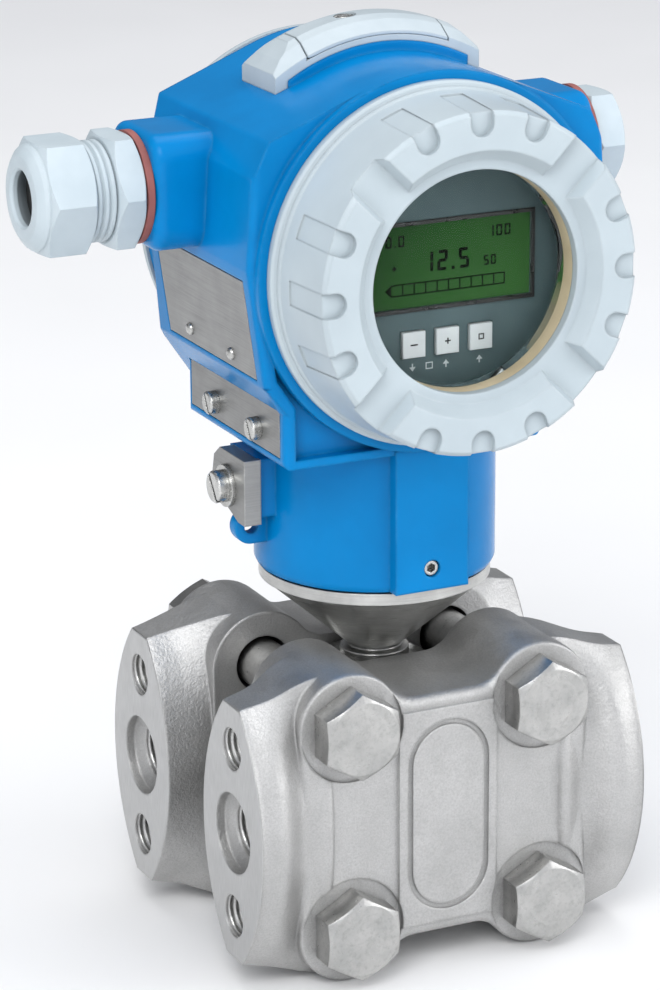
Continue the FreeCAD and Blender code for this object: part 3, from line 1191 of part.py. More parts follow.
def make_blind_plug():
    """Hexagon-headed blind plug of the second cable entry."""
    face = RIGHT_ENTRY_FACE_X + SEAL_THICKNESS
    head = chamfered_hexagon(BLIND_FLATS, face, face + BLIND_HEAD, X_DIR, entry_centre(), Y_DIR,
                             (True, True))
    spigot = cylinder(GLAND_SPIGOT_RADIUS, face - GLAND_SPIGOT_LENGTH, face + 1, X_DIR, entry_centre())
    return fuse([head, spigot])


# ------------------------------------------------------------------ export
def build_nodes():
    """Every sub-part by its node name."""
    flange = make_flange()
    nodes = {
        "flange_rear": flange,
        "flange_front": mirrored_y(flange),
        "flange_bolts": make_bolts(),
        "flange_nuts": make_nuts(),
        "vent_plugs": make_vent_plugs(),
        "measuring_cell": make_cell(),
        "isolating_diaphragms": make_diaphragms(),
        "cell_gaskets": make_gaskets(),
        "neck_adapter": make_neck_adapter(),
        "neck_oring": make_neck_oring(),
        "sensor_header": make_sensor_header(),
        "housing": make_housing(),
        "lock_screw": make_lock_screw(),
        "front_cover": make_front_cover(),
        "window_glass": make_window_glass(),
        "window_ring": make_window_ring(),
        "front_cover_oring": cover_oring(COLLAR_FRONT_Y, -Y_DIR),
        "rear_cover": make_rear_cover(),
        "rear_cover_oring": cover_oring(REAR_COLLAR_Y, Y_DIR),
        "display_body": make_display_body(),
        "display_lcd": make_display_lcd(),
        "electronics_module": make_electronics_module(),
        "terminal_block": make_terminal_block(),
        "terminal_screws": make_terminal_screws(),
        "feedthrough": make_feedthrough(),
        "key_guard_base": make_guard_base(),
        "key_guard_flap": make_guard_flap(),
        "key_guard_screw": make_guard_screw(),
        "name_plate": make_name_plate(),
        "name_plate_rivets": make_rivets(),
        "tag_plate": make_tag_plate(),
        "tag_plate_screws": make_tag_screws(),
        "ground_clamp": make_ground_clamp(),
        "ground_washer": make_ground_washer(),
        "ground_screw": make_ground_screw(),
        "entry_seals": make_entry_seals(),
        "gland_body": make_gland_body(),
        "gland_insert": make_gland_insert(),
        "gland_nut": make_gland_nut(),
        "blind_plug": make_blind_plug(),
    }
    for k, x in enumerate(display_key_positions()):
        nodes["display_key_%d" % (k + 1)] = make_display_key(x)
    for k, x in enumerate(service_key_positions()):
        nodes["service_key_%d" % (k + 1)] = make_service_key(x)
    return nodes


def main():
    """Build every node, move it into the frame and write it as STEP."""
    os.makedirs("parts", exist_ok=True)
    for name, shape in build_nodes().items():
        placed = shape.translated(V(FLANGE_HALF_X, 0, 0))
        placed.exportStep("parts/%s.step" % name)
        count = len(placed.Solids)
        print("%-22s solids %d volume %.0f valid %s" % (name, count, placed.Volume, placed.isValid()))


main()
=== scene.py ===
import math

import bmesh
import bpy
from mathutils import Matrix, Vector


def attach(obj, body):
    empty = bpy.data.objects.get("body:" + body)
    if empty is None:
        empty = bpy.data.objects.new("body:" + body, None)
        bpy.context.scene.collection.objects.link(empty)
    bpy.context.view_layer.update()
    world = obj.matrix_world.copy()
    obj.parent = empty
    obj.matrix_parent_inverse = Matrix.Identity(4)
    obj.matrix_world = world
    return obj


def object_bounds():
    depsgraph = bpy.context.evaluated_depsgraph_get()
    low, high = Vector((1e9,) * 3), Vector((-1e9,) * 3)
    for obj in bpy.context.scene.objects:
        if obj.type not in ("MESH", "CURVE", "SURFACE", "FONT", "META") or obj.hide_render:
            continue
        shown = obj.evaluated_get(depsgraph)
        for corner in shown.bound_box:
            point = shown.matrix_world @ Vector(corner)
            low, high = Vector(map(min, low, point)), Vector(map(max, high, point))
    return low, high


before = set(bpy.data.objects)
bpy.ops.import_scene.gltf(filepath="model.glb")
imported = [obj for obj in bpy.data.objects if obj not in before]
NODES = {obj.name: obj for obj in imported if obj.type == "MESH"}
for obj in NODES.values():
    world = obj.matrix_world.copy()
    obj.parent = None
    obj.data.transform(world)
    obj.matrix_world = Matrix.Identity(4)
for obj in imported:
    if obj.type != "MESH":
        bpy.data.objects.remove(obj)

CAD_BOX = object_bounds()
MM = 0.001

# Places of the object's own features in the row frame, in millimetres.
SHIFT_X = 49.5
AXIS_Z = 129.7
DISPLAY_FACE_Y = -36.0
LCD_FACE_Y = -35.5
PORT_Y = 27.0
UNF_Z = 20.65
END_PLANES = (0.0, 99.0)
BOLTS = [(sx * 24.4, sz * 24.8) for sx in (-1, 1) for sz in (-1, 1)]
UNF_RADII = {-1: 5.04, 1: 4.88}
UNF_PITCH = 1.27
NPT_RADIUS = 6.6
NPT_PITCH = 1.41
NPT_TAPER = 0.02


# ------------------------------------------------------------------ material kit
class Look:
    """One procedural material, built node by node in object space."""

    def __init__(self, name):
        self.material = bpy.data.materials.new(name)
        self.material.use_nodes = True
        self.tree = self.material.node_tree
        self.shader = next(n for n in self.tree.nodes if n.type == "BSDF_PRINCIPLED")
        self.place = self.tree.nodes.new("ShaderNodeTexCoord").outputs["Object"]

    def set(self, **values):
        """Constant values on the shader's own sockets."""
        for name, value in values.items():
            self.shader.inputs[name.replace("_", " ")].default_value = value
        return self

    def join(self, source, target):
        self.tree.links.new(source, target)

    def drive(self, name, source):
        self.join(source, self.shader.inputs[name])

    def math(self, operation, first, second=None, clamp=False):
        node = self.tree.nodes.new("ShaderNodeMath")
        node.operation = operation
        node.use_clamp = clamp
        for slot, value in zip(node.inputs, (first, second)):
            if value is None:
                continue
            if isinstance(value, (int, float)):
                slot.default_value = value
            else:
                self.join(value, slot)
        return node.outputs[0]

    def axis(self, letter):
        """One object-space coordinate, in metres."""
        node = self.tree.nodes.new("ShaderNodeSeparateXYZ")
        self.join(self.place, node.inputs[0])
        return node.outputs[letter]

    def stretched(self, scale):
        """Object coordinates scaled differently along each axis."""
        node = self.tree.nodes.new("ShaderNodeMapping")
        node.inputs["Scale"].default_value = scale
        self.join(self.place, node.inputs["Vector"])
        return node.outputs[0]

    def noise(self, scale, detail=3.0, roughness=0.55, vector=None, distortion=0.0):
        node = self.tree.nodes.new("ShaderNodeTexNoise")
        self.join(vector or self.place, node.inputs["Vector"])
        node.inputs["Scale"].default_value = scale
        node.inputs["Detail"].default_value = detail
        node.inputs["Roughness"].default_value = roughness
        node.inputs["Distortion"].default_value = distortion
        return node.outputs["Fac"]

    def cells(self, scale, vector=None):
        node = self.tree.nodes.new("ShaderNodeTexVoronoi")
        self.join(vector or self.place, node.inputs["Vector"])
        node.inputs["Scale"].default_value = scale
        return node.outputs["Distance"]

    def span(self, value, low, high, to_low=0.0, to_high=1.0):
        """Value remapped from one range to another, clamped."""
        node = self.tree.nodes.new("ShaderNodeMapRange")
        node.clamp = True
        self.join(value, node.inputs["Value"])
        for slot, number in zip(("From Min", "From Max", "To Min", "To Max"), (low, high, to_low, to_high)):
            node.inputs[slot].default_value = number
        return node.outputs["Result"]

    def blend(self, factor, first, second):
        """Colour between two colours or colour sockets."""
        node = self.tree.nodes.new("ShaderNodeMix")
        node.data_type = "RGBA"
        if isinstance(factor, (int, float)):
            node.inputs["Factor"].default_value = factor
        else:
            self.join(factor, node.inputs["Factor"])
        for slot, value in zip((node.inputs[6], node.inputs[7]), (first, second)):
            if isinstance(value, tuple):
                slot.default_value = (*value, 1.0)
            else:
                self.join(value, slot)
        return node.outputs[2]

    def edges(self, radius, low=0.02, high=0.25):
        """1 along edges, 0 on flat ground."""
        bevel = self.tree.nodes.new("ShaderNodeBevel")
        bevel.samples = 4
        bevel.inputs["Radius"].default_value = radius
        plain = self.tree.nodes.new("ShaderNodeNewGeometry").outputs["Normal"]
        dot = self.tree.nodes.new("ShaderNodeVectorMath")
        dot.operation = "DOT_PRODUCT"
        self.join(bevel.outputs[0], dot.inputs[0])
        self.join(plain, dot.inputs[1])
        return self.span(self.math("SUBTRACT", 1.0, dot.outputs["Value"]), low, high)

    def occlusion_shade(self, distance):
        """Ambient-occlusion mask for painted shade: 1 in corners and gaps where shade falls, 0 in the open.
        """
        node = self.tree.nodes.new("ShaderNodeAmbientOcclusion")
        node.samples = 6
        node.inputs["Distance"].default_value = distance
        return self.math("SUBTRACT", 1.0, node.outputs["AO"])

    def softened(self, radius):
        """Normal rounded over the edges by the given radius."""
        bevel = self.tree.nodes.new("ShaderNodeBevel")
        bevel.samples = 4
        bevel.inputs["Radius"].default_value = radius
        return bevel.outputs[0]

    def within(self, value, low, high, soft=0.00004):
        """1 where the value lies between low and high, 0 elsewhere."""
        above = self.span(value, low - soft, low)
        return self.math("MULTIPLY", above, self.span(value, high, high + soft, 1.0, 0.0))

    def reach(self, first, second):
        """Length of the two legs together."""
        return self.math("SQRT", self.math("ADD", self.math("MULTIPLY", first, first),
                                           self.math("MULTIPLY", second, second)))

    def thread(self, along, first, second, pitch, radii, span):
        """Height of a screw thread of the given pitch on a cylinder, all in metres."""
        turn = self.math("DIVIDE", self.math("ARCTAN2", second, first), 2 * math.pi)
        wave = self.math("PINGPONG", self.math("ADD", along, self.math("MULTIPLY", turn, pitch)), pitch / 2)
        ring = self.within(self.reach(first, second), *radii)
        mask = self.math("MULTIPLY", ring, self.within(along, *span))
        return self.math("MULTIPLY", wave, mask), mask

    def relief(self, layers, normal=None):
        """Bump layers given as (height socket, strength, distance in metres)."""
        for height, strength, distance in layers:
            node = self.tree.nodes.new("ShaderNodeBump")
            node.inputs["Strength"].default_value = strength
            node.inputs["Distance"].default_value = distance
            self.join(height, node.inputs["Height"])
            if normal is not None:
                self.join(normal, node.inputs["Normal"])
            normal = node.outputs[0]
        self.join(normal, self.shader.inputs["Normal"])


def coat(name, deep, light, gloss, edge_radius, peel=0.10, edge_tint=None, sheen=0.5):
    """Powder coat: cloudy colour, orange peel, lighter edges (painted highlight, partly paint worn thin),
    painted shade in corners, bare threads.
    """
    look = Look(name).set(Specular_IOR_Level=sheen)
    cloud = look.noise(38.0, 4.0)
    speck = look.noise(2600.0, 2.0)
    colour = look.blend(look.span(cloud, 0.35, 0.65), deep, light)
    colour = look.blend(look.span(speck, 0.62, 0.75, 0.0, 0.10), colour, tuple(c * 0.7 for c in deep))
    if edge_tint:
        # Lighter edges: painted highlight along the edges, partly paint worn thin there.
        edge_wear_and_highlight = look.math("MULTIPLY", look.edges(edge_radius), look.span(look.noise(160.0), 0.35, 0.7))
        colour = look.blend(look.math("MULTIPLY", edge_wear_and_highlight, 0.55), colour, edge_tint)
    # Painted shade: corners and gaps darkened towards a deep tone of the coat by ambient occlusion.
    corner_shade = look.math("MULTIPLY", look.occlusion_shade(0.004), 0.55, clamp=True)
    colour = look.blend(corner_shade, colour, tuple(c * 0.45 for c in deep))
    across = look.math("SUBTRACT", look.axis("X"), SHIFT_X * MM)
    rise = look.math("SUBTRACT", look.axis("Z"), AXIS_Z * MM)
    front, front_mask = look.thread(look.axis("Y"), across, rise, 0.002, (0.0357, 0.0362), (-0.0316, -0.0220))
    rear, rear_mask = look.thread(look.axis("Y"), across, rise, 0.002, (0.0357, 0.0362), (0.0260, 0.0356))
    bare = look.math("ADD", front_mask, rear_mask, clamp=True)
    colour = look.blend(bare, colour, (0.52, 0.53, 0.54))
    look.drive("Base Color", colour)
    look.drive("Metallic", bare)
    look.drive("Roughness", look.span(look.noise(90.0, 5.0), 0.3, 0.7, gloss, gloss + 0.10))
    look.relief([(look.noise(620.0, 2.0, 0.4), peel, 0.00012), (look.noise(3200.0, 2.0), peel * 0.5, 0.00003),
                 (front, 1.0, 1.0), (rear, 1.0, 1.0)], look.softened(edge_radius))
    return look.material


def cast_steel(name):
    """Bead-blasted stainless casting with machined end faces."""
    look = Look(name).set(Metallic=1.0)
    x = look.axis("X")
    left = look.span(x, END_PLANES[0] * MM + 0.00005, END_PLANES[0] * MM + 0.00025, 1.0, 0.0)
    right = look.span(x, END_PLANES[1] * MM - 0.00025, END_PLANES[1] * MM - 0.00005)
    machined = look.math("ADD", left, right, clamp=True)
    cloud = look.noise(55.0, 5.0, 0.6)
    grain = look.noise(2300.0, 4.0, 0.65)
    pits = look.cells(1200.0)
    colour = look.blend(look.span(cloud, 0.3, 0.7), (0.47, 0.468, 0.46), (0.58, 0.577, 0.57))
    colour = look.blend(look.span(grain, 0.40, 0.72, 0.0, 0.50), colour, (0.34, 0.337, 0.332))
    turned = look.noise(1.0, 2.0, 0.5, look.stretched((1.0, 5200.0, 260.0)))
    bright = look.blend(look.span(turned, 0.3, 0.7), (0.46, 0.46, 0.455), (0.56, 0.56, 0.555))
    colour = look.blend(machined, colour, bright)
    # Painted highlight: edges of the casting lightened towards pale grey.
    edge_highlight = look.math("MULTIPLY", look.edges(0.0006), look.span(look.noise(210.0), 0.3, 0.7))
    colour = look.blend(look.math("MULTIPLY", edge_highlight, 0.5), colour, (0.82, 0.82, 0.80))
    # Painted shade: corners and gaps darkened by ambient occlusion.
    corner_shade = look.math("MULTIPLY", look.occlusion_shade(0.006), 0.6, clamp=True)
    colour = look.blend(corner_shade, colour, (0.16, 0.16, 0.16))
    look.drive("Base Color", colour)
    rough = look.span(look.noise(130.0, 4.0), 0.3, 0.7, 0.44, 0.56)
    smooth = look.math("MULTIPLY", machined, 0.13)
    look.drive("Roughness", look.math("SUBTRACT", rough, smooth))
    open_ground = look.math("SUBTRACT", 1.0, machined)
    coarse = look.math("MULTIPLY", look.noise(420.0, 3.0, 0.6), open_ground)
    fine = look.math("MULTIPLY", look.math("ADD", grain, look.math("MULTIPLY", pits, 0.5)), open_ground)
    lines = look.math("MULTIPLY", turned, machined)
    look.relief([(coarse, 0.45, 0.00030), (fine, 0.75, 0.00012), (lines, 0.10, 0.00003)],
                look.softened(0.0009))
    return look.material


def metal(name, dark, bright, rough, scratch=(900.0, 900.0, 900.0), edge_radius=0.0004, bump=0.10, shade_strength=0.5):
    """Bare metal with fine directional marks, painted highlights on the edges and painted shade in corners.
    """
    look = Look(name).set(Metallic=1.0)
    marks = look.noise(1.0, 4.0, 0.6, look.stretched(scratch))
    cloud = look.noise(140.0, 4.0)
    colour = look.blend(look.span(cloud, 0.3, 0.7), dark, bright)
    colour = look.blend(look.span(marks, 0.45, 0.8, 0.0, 0.35), colour, tuple(c * 0.6 for c in dark))
    # Painted highlight: edges lightened towards near white.
    edge_highlight = look.math("MULTIPLY", look.edges(edge_radius), look.span(look.noise(300.0), 0.3, 0.65))
    colour = look.blend(look.math("MULTIPLY", edge_highlight, 0.6), colour, (0.85, 0.85, 0.84))
    # Painted shade: corners and gaps darkened by ambient occlusion.
    corner_shade = look.math("MULTIPLY", look.occlusion_shade(0.003), shade_strength, clamp=True)
    colour = look.blend(corner_shade, colour, (0.08, 0.08, 0.08))
    look.drive("Base Color", colour)
    look.drive("Roughness", look.span(marks, 0.3, 0.7, rough - 0.05, rough + 0.08))
    look.relief([(marks, bump, 0.00004), (look.noise(500.0, 3.0), bump, 0.00006)], look.softened(edge_radius))
    return look.material


def bolt_steel(name):
    """Forged bolt steel: scuffed flats and a faint turned ring on each head and nut."""
    look = Look(name).set(Metallic=1.0)
    across = look.math("SUBTRACT", look.math("ABSOLUTE", look.math("SUBTRACT", look.axis("X"), SHIFT_X * MM)),
                       BOLTS[3][0] * MM)
    rise = look.math("SUBTRACT", look.math("ABSOLUTE", look.axis("Z")), BOLTS[3][1] * MM)
    radius = look.reach(across, rise)
    thread = look.thread(look.axis("Y"), across, rise, 0.00175, (0.0055, 0.0062), (0.0474, 0.0495))[0]
    ring = look.math("SUBTRACT", 1.0, look.span(look.math("ABSOLUTE", look.math("SUBTRACT", radius, 0.0056)),
                                                0.0002, 0.0008))
    turned = look.math("PINGPONG", radius, 0.00045)
    cloud = look.noise(170.0, 4.0, 0.6)
    scuff = look.noise(900.0, 4.0, 0.65)
    colour = look.blend(look.span(cloud, 0.3, 0.7), (0.40, 0.40, 0.39), (0.53, 0.525, 0.51))
    colour = look.blend(look.span(scuff, 0.50, 0.75, 0.0, 0.4), colour, (0.25, 0.25, 0.24))
    # Painted highlight: edges of heads and nuts lightened towards pale grey.
    edge_highlight = look.math("MULTIPLY", look.edges(0.0004), look.span(look.noise(300.0), 0.3, 0.65))
    colour = look.blend(look.math("MULTIPLY", edge_highlight, 0.5), colour, (0.72, 0.72, 0.71))
    # Painted shade: corners and gaps darkened by ambient occlusion.
    corner_shade = look.math("MULTIPLY", look.occlusion_shade(0.003), 0.55, clamp=True)
    colour = look.blend(corner_shade, colour, (0.07, 0.07, 0.07))
    look.drive("Base Color", colour)
    look.drive("Roughness", look.span(scuff, 0.3, 0.7, 0.26, 0.40))
    look.relief([(scuff, 0.35, 0.00010), (ring, 0.30, 0.00025), (turned, 0.25, 0.00010), (thread, 1.0, 1.0)],
                look.softened(0.0005))
    return look.material


def moulded(name, deep, light, gloss, edge_radius=0.0004, bump=0.08, corner_shade=0.5, sheen=0.5):
    """Moulded plastic or rubber: faint flow clouds, fine skin, soft edges with a painted highlight, painted
    shade in corners.
    """
    look = Look(name).set(Metallic=0.0, Specular_IOR_Level=sheen)
    cloud = look.noise(85.0, 3.0)
    colour = look.blend(look.span(cloud, 0.35, 0.65), deep, light)
    # Paler edges: painted highlight along the edges, partly rubbed wear.
    edge_rub_and_highlight = look.math("MULTIPLY", look.edges(edge_radius), look.span(look.noise(260.0), 0.4, 0.7))
    paler = tuple(min(1.0, c * 1.25 + 0.02) for c in light)
    colour = look.blend(look.math("MULTIPLY", edge_rub_and_highlight, 0.30), colour, paler)
    # Painted shade: corners and gaps darkened by ambient occlusion.
    colour = look.blend(look.math("MULTIPLY", look.occlusion_shade(0.004), corner_shade, clamp=True), colour,
                        tuple(c * 0.5 for c in deep))
    look.drive("Base Color", colour)
    look.drive("Roughness", look.span(look.noise(200.0, 4.0), 0.3, 0.7, gloss, gloss + 0.10))
    look.relief([(look.noise(900.0, 2.0), bump, 0.00006), (look.noise(4200.0, 2.0), bump, 0.00002)],
                look.softened(edge_radius))
    return look.material


def lcd(name):
    """Green reflective liquid-crystal panel with a faint pixel grid, its green painted lighter towards +X and
    towards the bottom.
    """
    look = Look(name).set(Metallic=0.0, Specular_IOR_Level=0.06)
    x = look.span(look.axis("X"), 0.028, 0.071)
    z = look.span(look.axis("Z"), 0.1216, 0.1404)
    # Painted light: the panel's green lightens towards +X and towards the bottom, with a little random tone.
    light_gradient_tone = look.math("ADD", look.math("MULTIPLY", x, 0.75), look.math("MULTIPLY", z, -0.35))
    light_gradient_tone = look.math("ADD", light_gradient_tone, look.math("MULTIPLY", look.noise(120.0), 0.25))
    colour = look.blend(look.span(light_gradient_tone, -0.2, 0.9), (0.010, 0.052, 0.010), (0.040, 0.135, 0.030))
    columns = look.math("PINGPONG", look.axis("X"), 0.00016)
    rows = look.math("PINGPONG", look.axis("Z"), 0.00016)
    grid = look.math("MINIMUM", columns, rows)
    colour = look.blend(look.span(grid, 0.0, 0.00004, 0.05, 0.0), colour, (0.012, 0.035, 0.010))
    look.drive("Base Color", colour)
    look.drive("Roughness", look.span(look.noise(400.0), 0.3, 0.7, 0.28, 0.36))
    look.relief([(grid, 0.05, 0.00002)])
    return look.material


def pane(name):
    """Clear anti-reflection glass with the faintest dust."""
    look = Look(name).set(Metallic=0.0, IOR=1.12, Transmission_Weight=1.0, Specular_IOR_Level=0.5)
    cloud = look.span(look.noise(60.0), 0.3, 0.7)
    look.drive("Base Color", look.blend(cloud, (0.93, 0.97, 0.96), (0.97, 0.99, 0.99)))
    look.drive("Roughness", look.span(look.noise(700.0, 4.0), 0.55, 0.8, 0.0, 0.03))
    return look.material


BLUE = coat("powder_blue", (0.0, 0.175, 0.45), (0.0, 0.205, 0.52), 0.16, 0.0011, peel=0.06,
            edge_tint=(0.05, 0.34, 0.70), sheen=0.12)
COVER = coat("powder_pale_grey", (0.41, 0.475, 0.51), (0.455, 0.525, 0.56), 0.30, 0.0008,
             edge_tint=(0.66, 0.72, 0.75), sheen=0.4)
LOOKS = {
    "cast": cast_steel("cast_steel"),
    "turned": metal("turned_steel", (0.42, 0.42, 0.41), (0.60, 0.60, 0.58), 0.30, (60.0, 60.0, 5200.0)),
    "bolt": bolt_steel("bolt_steel"),
    "plug": metal("plug_steel", (0.50, 0.50, 0.49), (0.62, 0.62, 0.60), 0.32, (900.0, 2400.0, 900.0)),
    "sheet": metal("sheet_steel", (0.30, 0.30, 0.296), (0.355, 0.355, 0.348), 0.42, (60.0, 60.0, 6200.0),
                   shade_strength=0.35),
    "screw": metal("screw_steel", (0.50, 0.50, 0.48), (0.66, 0.66, 0.64), 0.26, (1500.0, 1500.0, 1500.0)),
    "foil": metal("foil_steel", (0.70, 0.70, 0.69), (0.82, 0.82, 0.80), 0.15),
    "grey_plastic": moulded("grey_plastic", (0.46, 0.535, 0.575), (0.51, 0.585, 0.625), 0.38),
    "guard_plastic": moulded("guard_plastic", (0.42, 0.485, 0.52), (0.465, 0.53, 0.565), 0.34),
    "display_plastic": moulded("display_plastic", (0.086, 0.128, 0.137), (0.102, 0.150, 0.160), 0.45,
                               sheen=0.15),
    "key_plastic": moulded("key_plastic", (0.66, 0.68, 0.70), (0.74, 0.76, 0.78), 0.35, corner_shade=0.3),
    "potting": moulded("potting", (0.010, 0.010, 0.011), (0.018, 0.018, 0.018), 0.25),
    "terminal": moulded("terminal_plastic", (0.02, 0.10, 0.035), (0.03, 0.13, 0.05), 0.45),
    "cement": moulded("cement", (0.50, 0.42, 0.27), (0.62, 0.53, 0.36), 0.55, bump=0.3),
    "rubber": moulded("black_rubber", (0.012, 0.012, 0.012), (0.022, 0.022, 0.022), 0.62),
    "ptfe": moulded("white_gasket", (0.72, 0.72, 0.70), (0.80, 0.80, 0.78), 0.5),
    "red": moulded("red_seal", (0.27, 0.085, 0.075), (0.34, 0.115, 0.10), 0.6, bump=0.3),
    "ink": moulded("ink", (0.003, 0.007, 0.003), (0.005, 0.010, 0.004), 0.5, corner_shade=0.0, sheen=0.05),
    "mark": moulded("mark", (0.60, 0.64, 0.65), (0.70, 0.73, 0.74), 0.5, corner_shade=0.0),
    "lcd": lcd("lcd_panel"),
    "glass": pane("window_glass"),
}

DRESS = {
    "cast": ["flange_front", "flange_rear"],
    "turned": ["measuring_cell", "neck_adapter", "sensor_header", "feedthrough"],
    "bolt": ["flange_bolts", "flange_nuts"],
    "plug": ["vent_plugs"],
    "sheet": ["name_plate", "tag_plate", "ground_clamp"],
    "screw": ["lock_screw", "name_plate_rivets", "tag_plate_screws", "ground_screw", "ground_washer",
              "terminal_screws", "key_guard_screw"],
    "foil": ["isolating_diaphragms"],
    "grey_plastic": ["gland_body", "gland_nut", "blind_plug"],
    "guard_plastic": ["key_guard_base", "key_guard_flap"],
    "display_plastic": ["display_body"],
    "key_plastic": ["display_key_1", "display_key_2", "display_key_3", "service_key_1", "service_key_2",
                    "service_key_3"],
    "potting": ["electronics_module"],
    "terminal": ["terminal_block"],
    "cement": ["window_ring"],
    "rubber": ["neck_oring", "front_cover_oring", "rear_cover_oring", "gland_insert"],
    "ptfe": ["cell_gaskets"],
    "red": ["entry_seals"],
    "lcd": ["display_lcd"],
    "glass": ["window_glass"],
}


def paint(obj, material):
    """Gives the object this one material."""
    obj.data.materials.clear()
    obj.data.materials.append(material)


for look_name, names in DRESS.items():
    for node_name in names:
        paint(NODES[node_name], LOOKS[look_name])
paint(NODES["housing"], BLUE)
for node_name in ("front_cover", "rear_cover"):
    paint(NODES[node_name], COVER)


# ------------------------------------------------------------------ small geometry kit
def mesh_object(name, verts, faces, material, body, smooth=False):
    """New piece from vertices in millimetres."""
    mesh = bpy.data.meshes.new(name)
    mesh.from_pydata([Vector(v) * MM for v in verts], [], faces)
    build = bmesh.new()
    build.from_mesh(mesh)
    bmesh.ops.recalc_face_normals(build, faces=build.faces)
    build.to_mesh(mesh)
    build.free()
    for polygon in mesh.polygons:
        polygon.use_smooth = smooth
    obj = bpy.data.objects.new(name, mesh)
    bpy.context.scene.collection.objects.link(obj)
    paint(obj, material)
    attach(obj, body)
    return obj


def helix_ridge(centre, out, side, radius, depth, pitch, start, end, steps=28, taper=0.0):
    """Vertices and faces of a triangular ridge that winds round a bore's wall."""
    other = out.cross(side)
    verts, faces = [], []
    turns = (end - start) / pitch
    count = int(turns * steps)
    for k in range(count + 1):
        angle = 2 * math.pi * k / steps
        along = start + pitch * k / steps
        ray = side * math.cos(angle) + other * math.sin(angle)
        grow = min(1.0, k / steps, (count - k) / steps)
        wall = radius - taper * (along - start)
        for r, shift in ((wall, -0.5), (wall - depth * grow - 0.01, 0.0), (wall, 0.5)):
            verts.append(centre + ray * r + out * (-(along + shift * pitch * 0.92)))
    for k in range(count):
        a, b = 3 * k, 3 * k + 3
        for i, j in ((0, 1), (1, 2), (2, 0)):
            faces.append((a + i, a + j, b + j, b + i))
    last = 3 * count
    faces += [(0, 2, 1), (last, last + 1, last + 2)]
    return verts, faces


def merged(parts):
    """Joins several (vertices, faces) pairs."""
    verts, faces = [], []
    for more_verts, more_faces in parts:
        base = len(verts)
        verts += more_verts
        faces += [tuple(base + i for i in face) for face in more_faces]
    return verts, faces


def flat_bar(points, front, thickness):
    """Closed thin plate on an outline of (x, z) points, its face looking along -Y."""
    count = len(points)
    verts = [Vector((x, front, z)) for x, z in points]
    verts += [Vector((x, front + thickness, z)) for x, z in points]
    faces = [tuple(range(count)), tuple(range(2 * count - 1, count - 1, -1))]
    faces += [(k, count + k, count + (k + 1) % count, (k + 1) % count) for k in range(count)]
    return verts, faces


# ------------------------------------------------------------------ threads in the flange ends
def flange_threads():
    """Ridges of the threads in the flange's end faces, seen inside the open holes."""
    unf, npt = [], []
    up = Vector((0, 0, 1))
    for end, sign in zip(END_PLANES, (-1, 1)):
        out = Vector((sign, 0, 0))
        for y in (-PORT_Y, PORT_Y):
            for z in (-UNF_Z, UNF_Z):
                mouth = Vector((end, y, z))
                unf.append(helix_ridge(mouth, out, up, UNF_RADII[sign], 0.6, UNF_PITCH, 0.9, 15.5))
            if sign < 0:
                mouth = Vector((end, y, 0))
                npt.append(helix_ridge(mouth, out, up, NPT_RADIUS, 0.75, NPT_PITCH, 4.8, 17.0, 32, NPT_TAPER))
    verts, faces = merged(unf)
    mesh_object("manifold_threads", verts, faces, LOOKS["plug"], "sensor")
    verts, faces = merged(npt)
    mesh_object("port_threads", verts, faces, LOOKS["plug"], "sensor")


# ------------------------------------------------------------------ what the display shows
SEGMENTS = {"0": "abcdef", "1": "bc", "2": "abged", "3": "abgcd", "4": "fgbc", "5": "afgcd", "6": "afgedc",
            "7": "abc", "8": "abcdefg", "9": "abcdfg"}


def digit(char, left, bottom, width, height, stroke):
    """Bars of one seven-segment character."""
    right, top, middle = left + width, bottom + height, bottom + height / 2
    half = stroke / 2
    level = {"a": top - half, "g": middle, "d": bottom + half}
    parts = []
    for name in SEGMENTS[char]:
        if name in level:
            z = level[name]
            parts.append(rectangle(left + half, z - half, right - half, z + half))
        else:
            x = left + half if name in "ef" else right - half
            low, high = (bottom, middle) if name in "ec" else (middle, top)
            parts.append(rectangle(x - half, low + half * 0.4, x + half, high - half * 0.4))
    return parts


def number(text, left, bottom, width, height, stroke, gap):
    """Bars of a number and its square point."""
    parts = []
    for char in text:
        if char == ".":
            parts.append(rectangle(left, bottom, left + stroke, bottom + stroke))
            left += stroke + gap
        else:
            parts += digit(char, left, bottom, width, height, stroke)
            left += width + gap
    return parts


def rectangle(x0, z0, x1, z1):
    """Corners of an upright rectangle in the panel's plane."""
    return [(x0, z0), (x1, z0), (x1, z1), (x0, z1)]


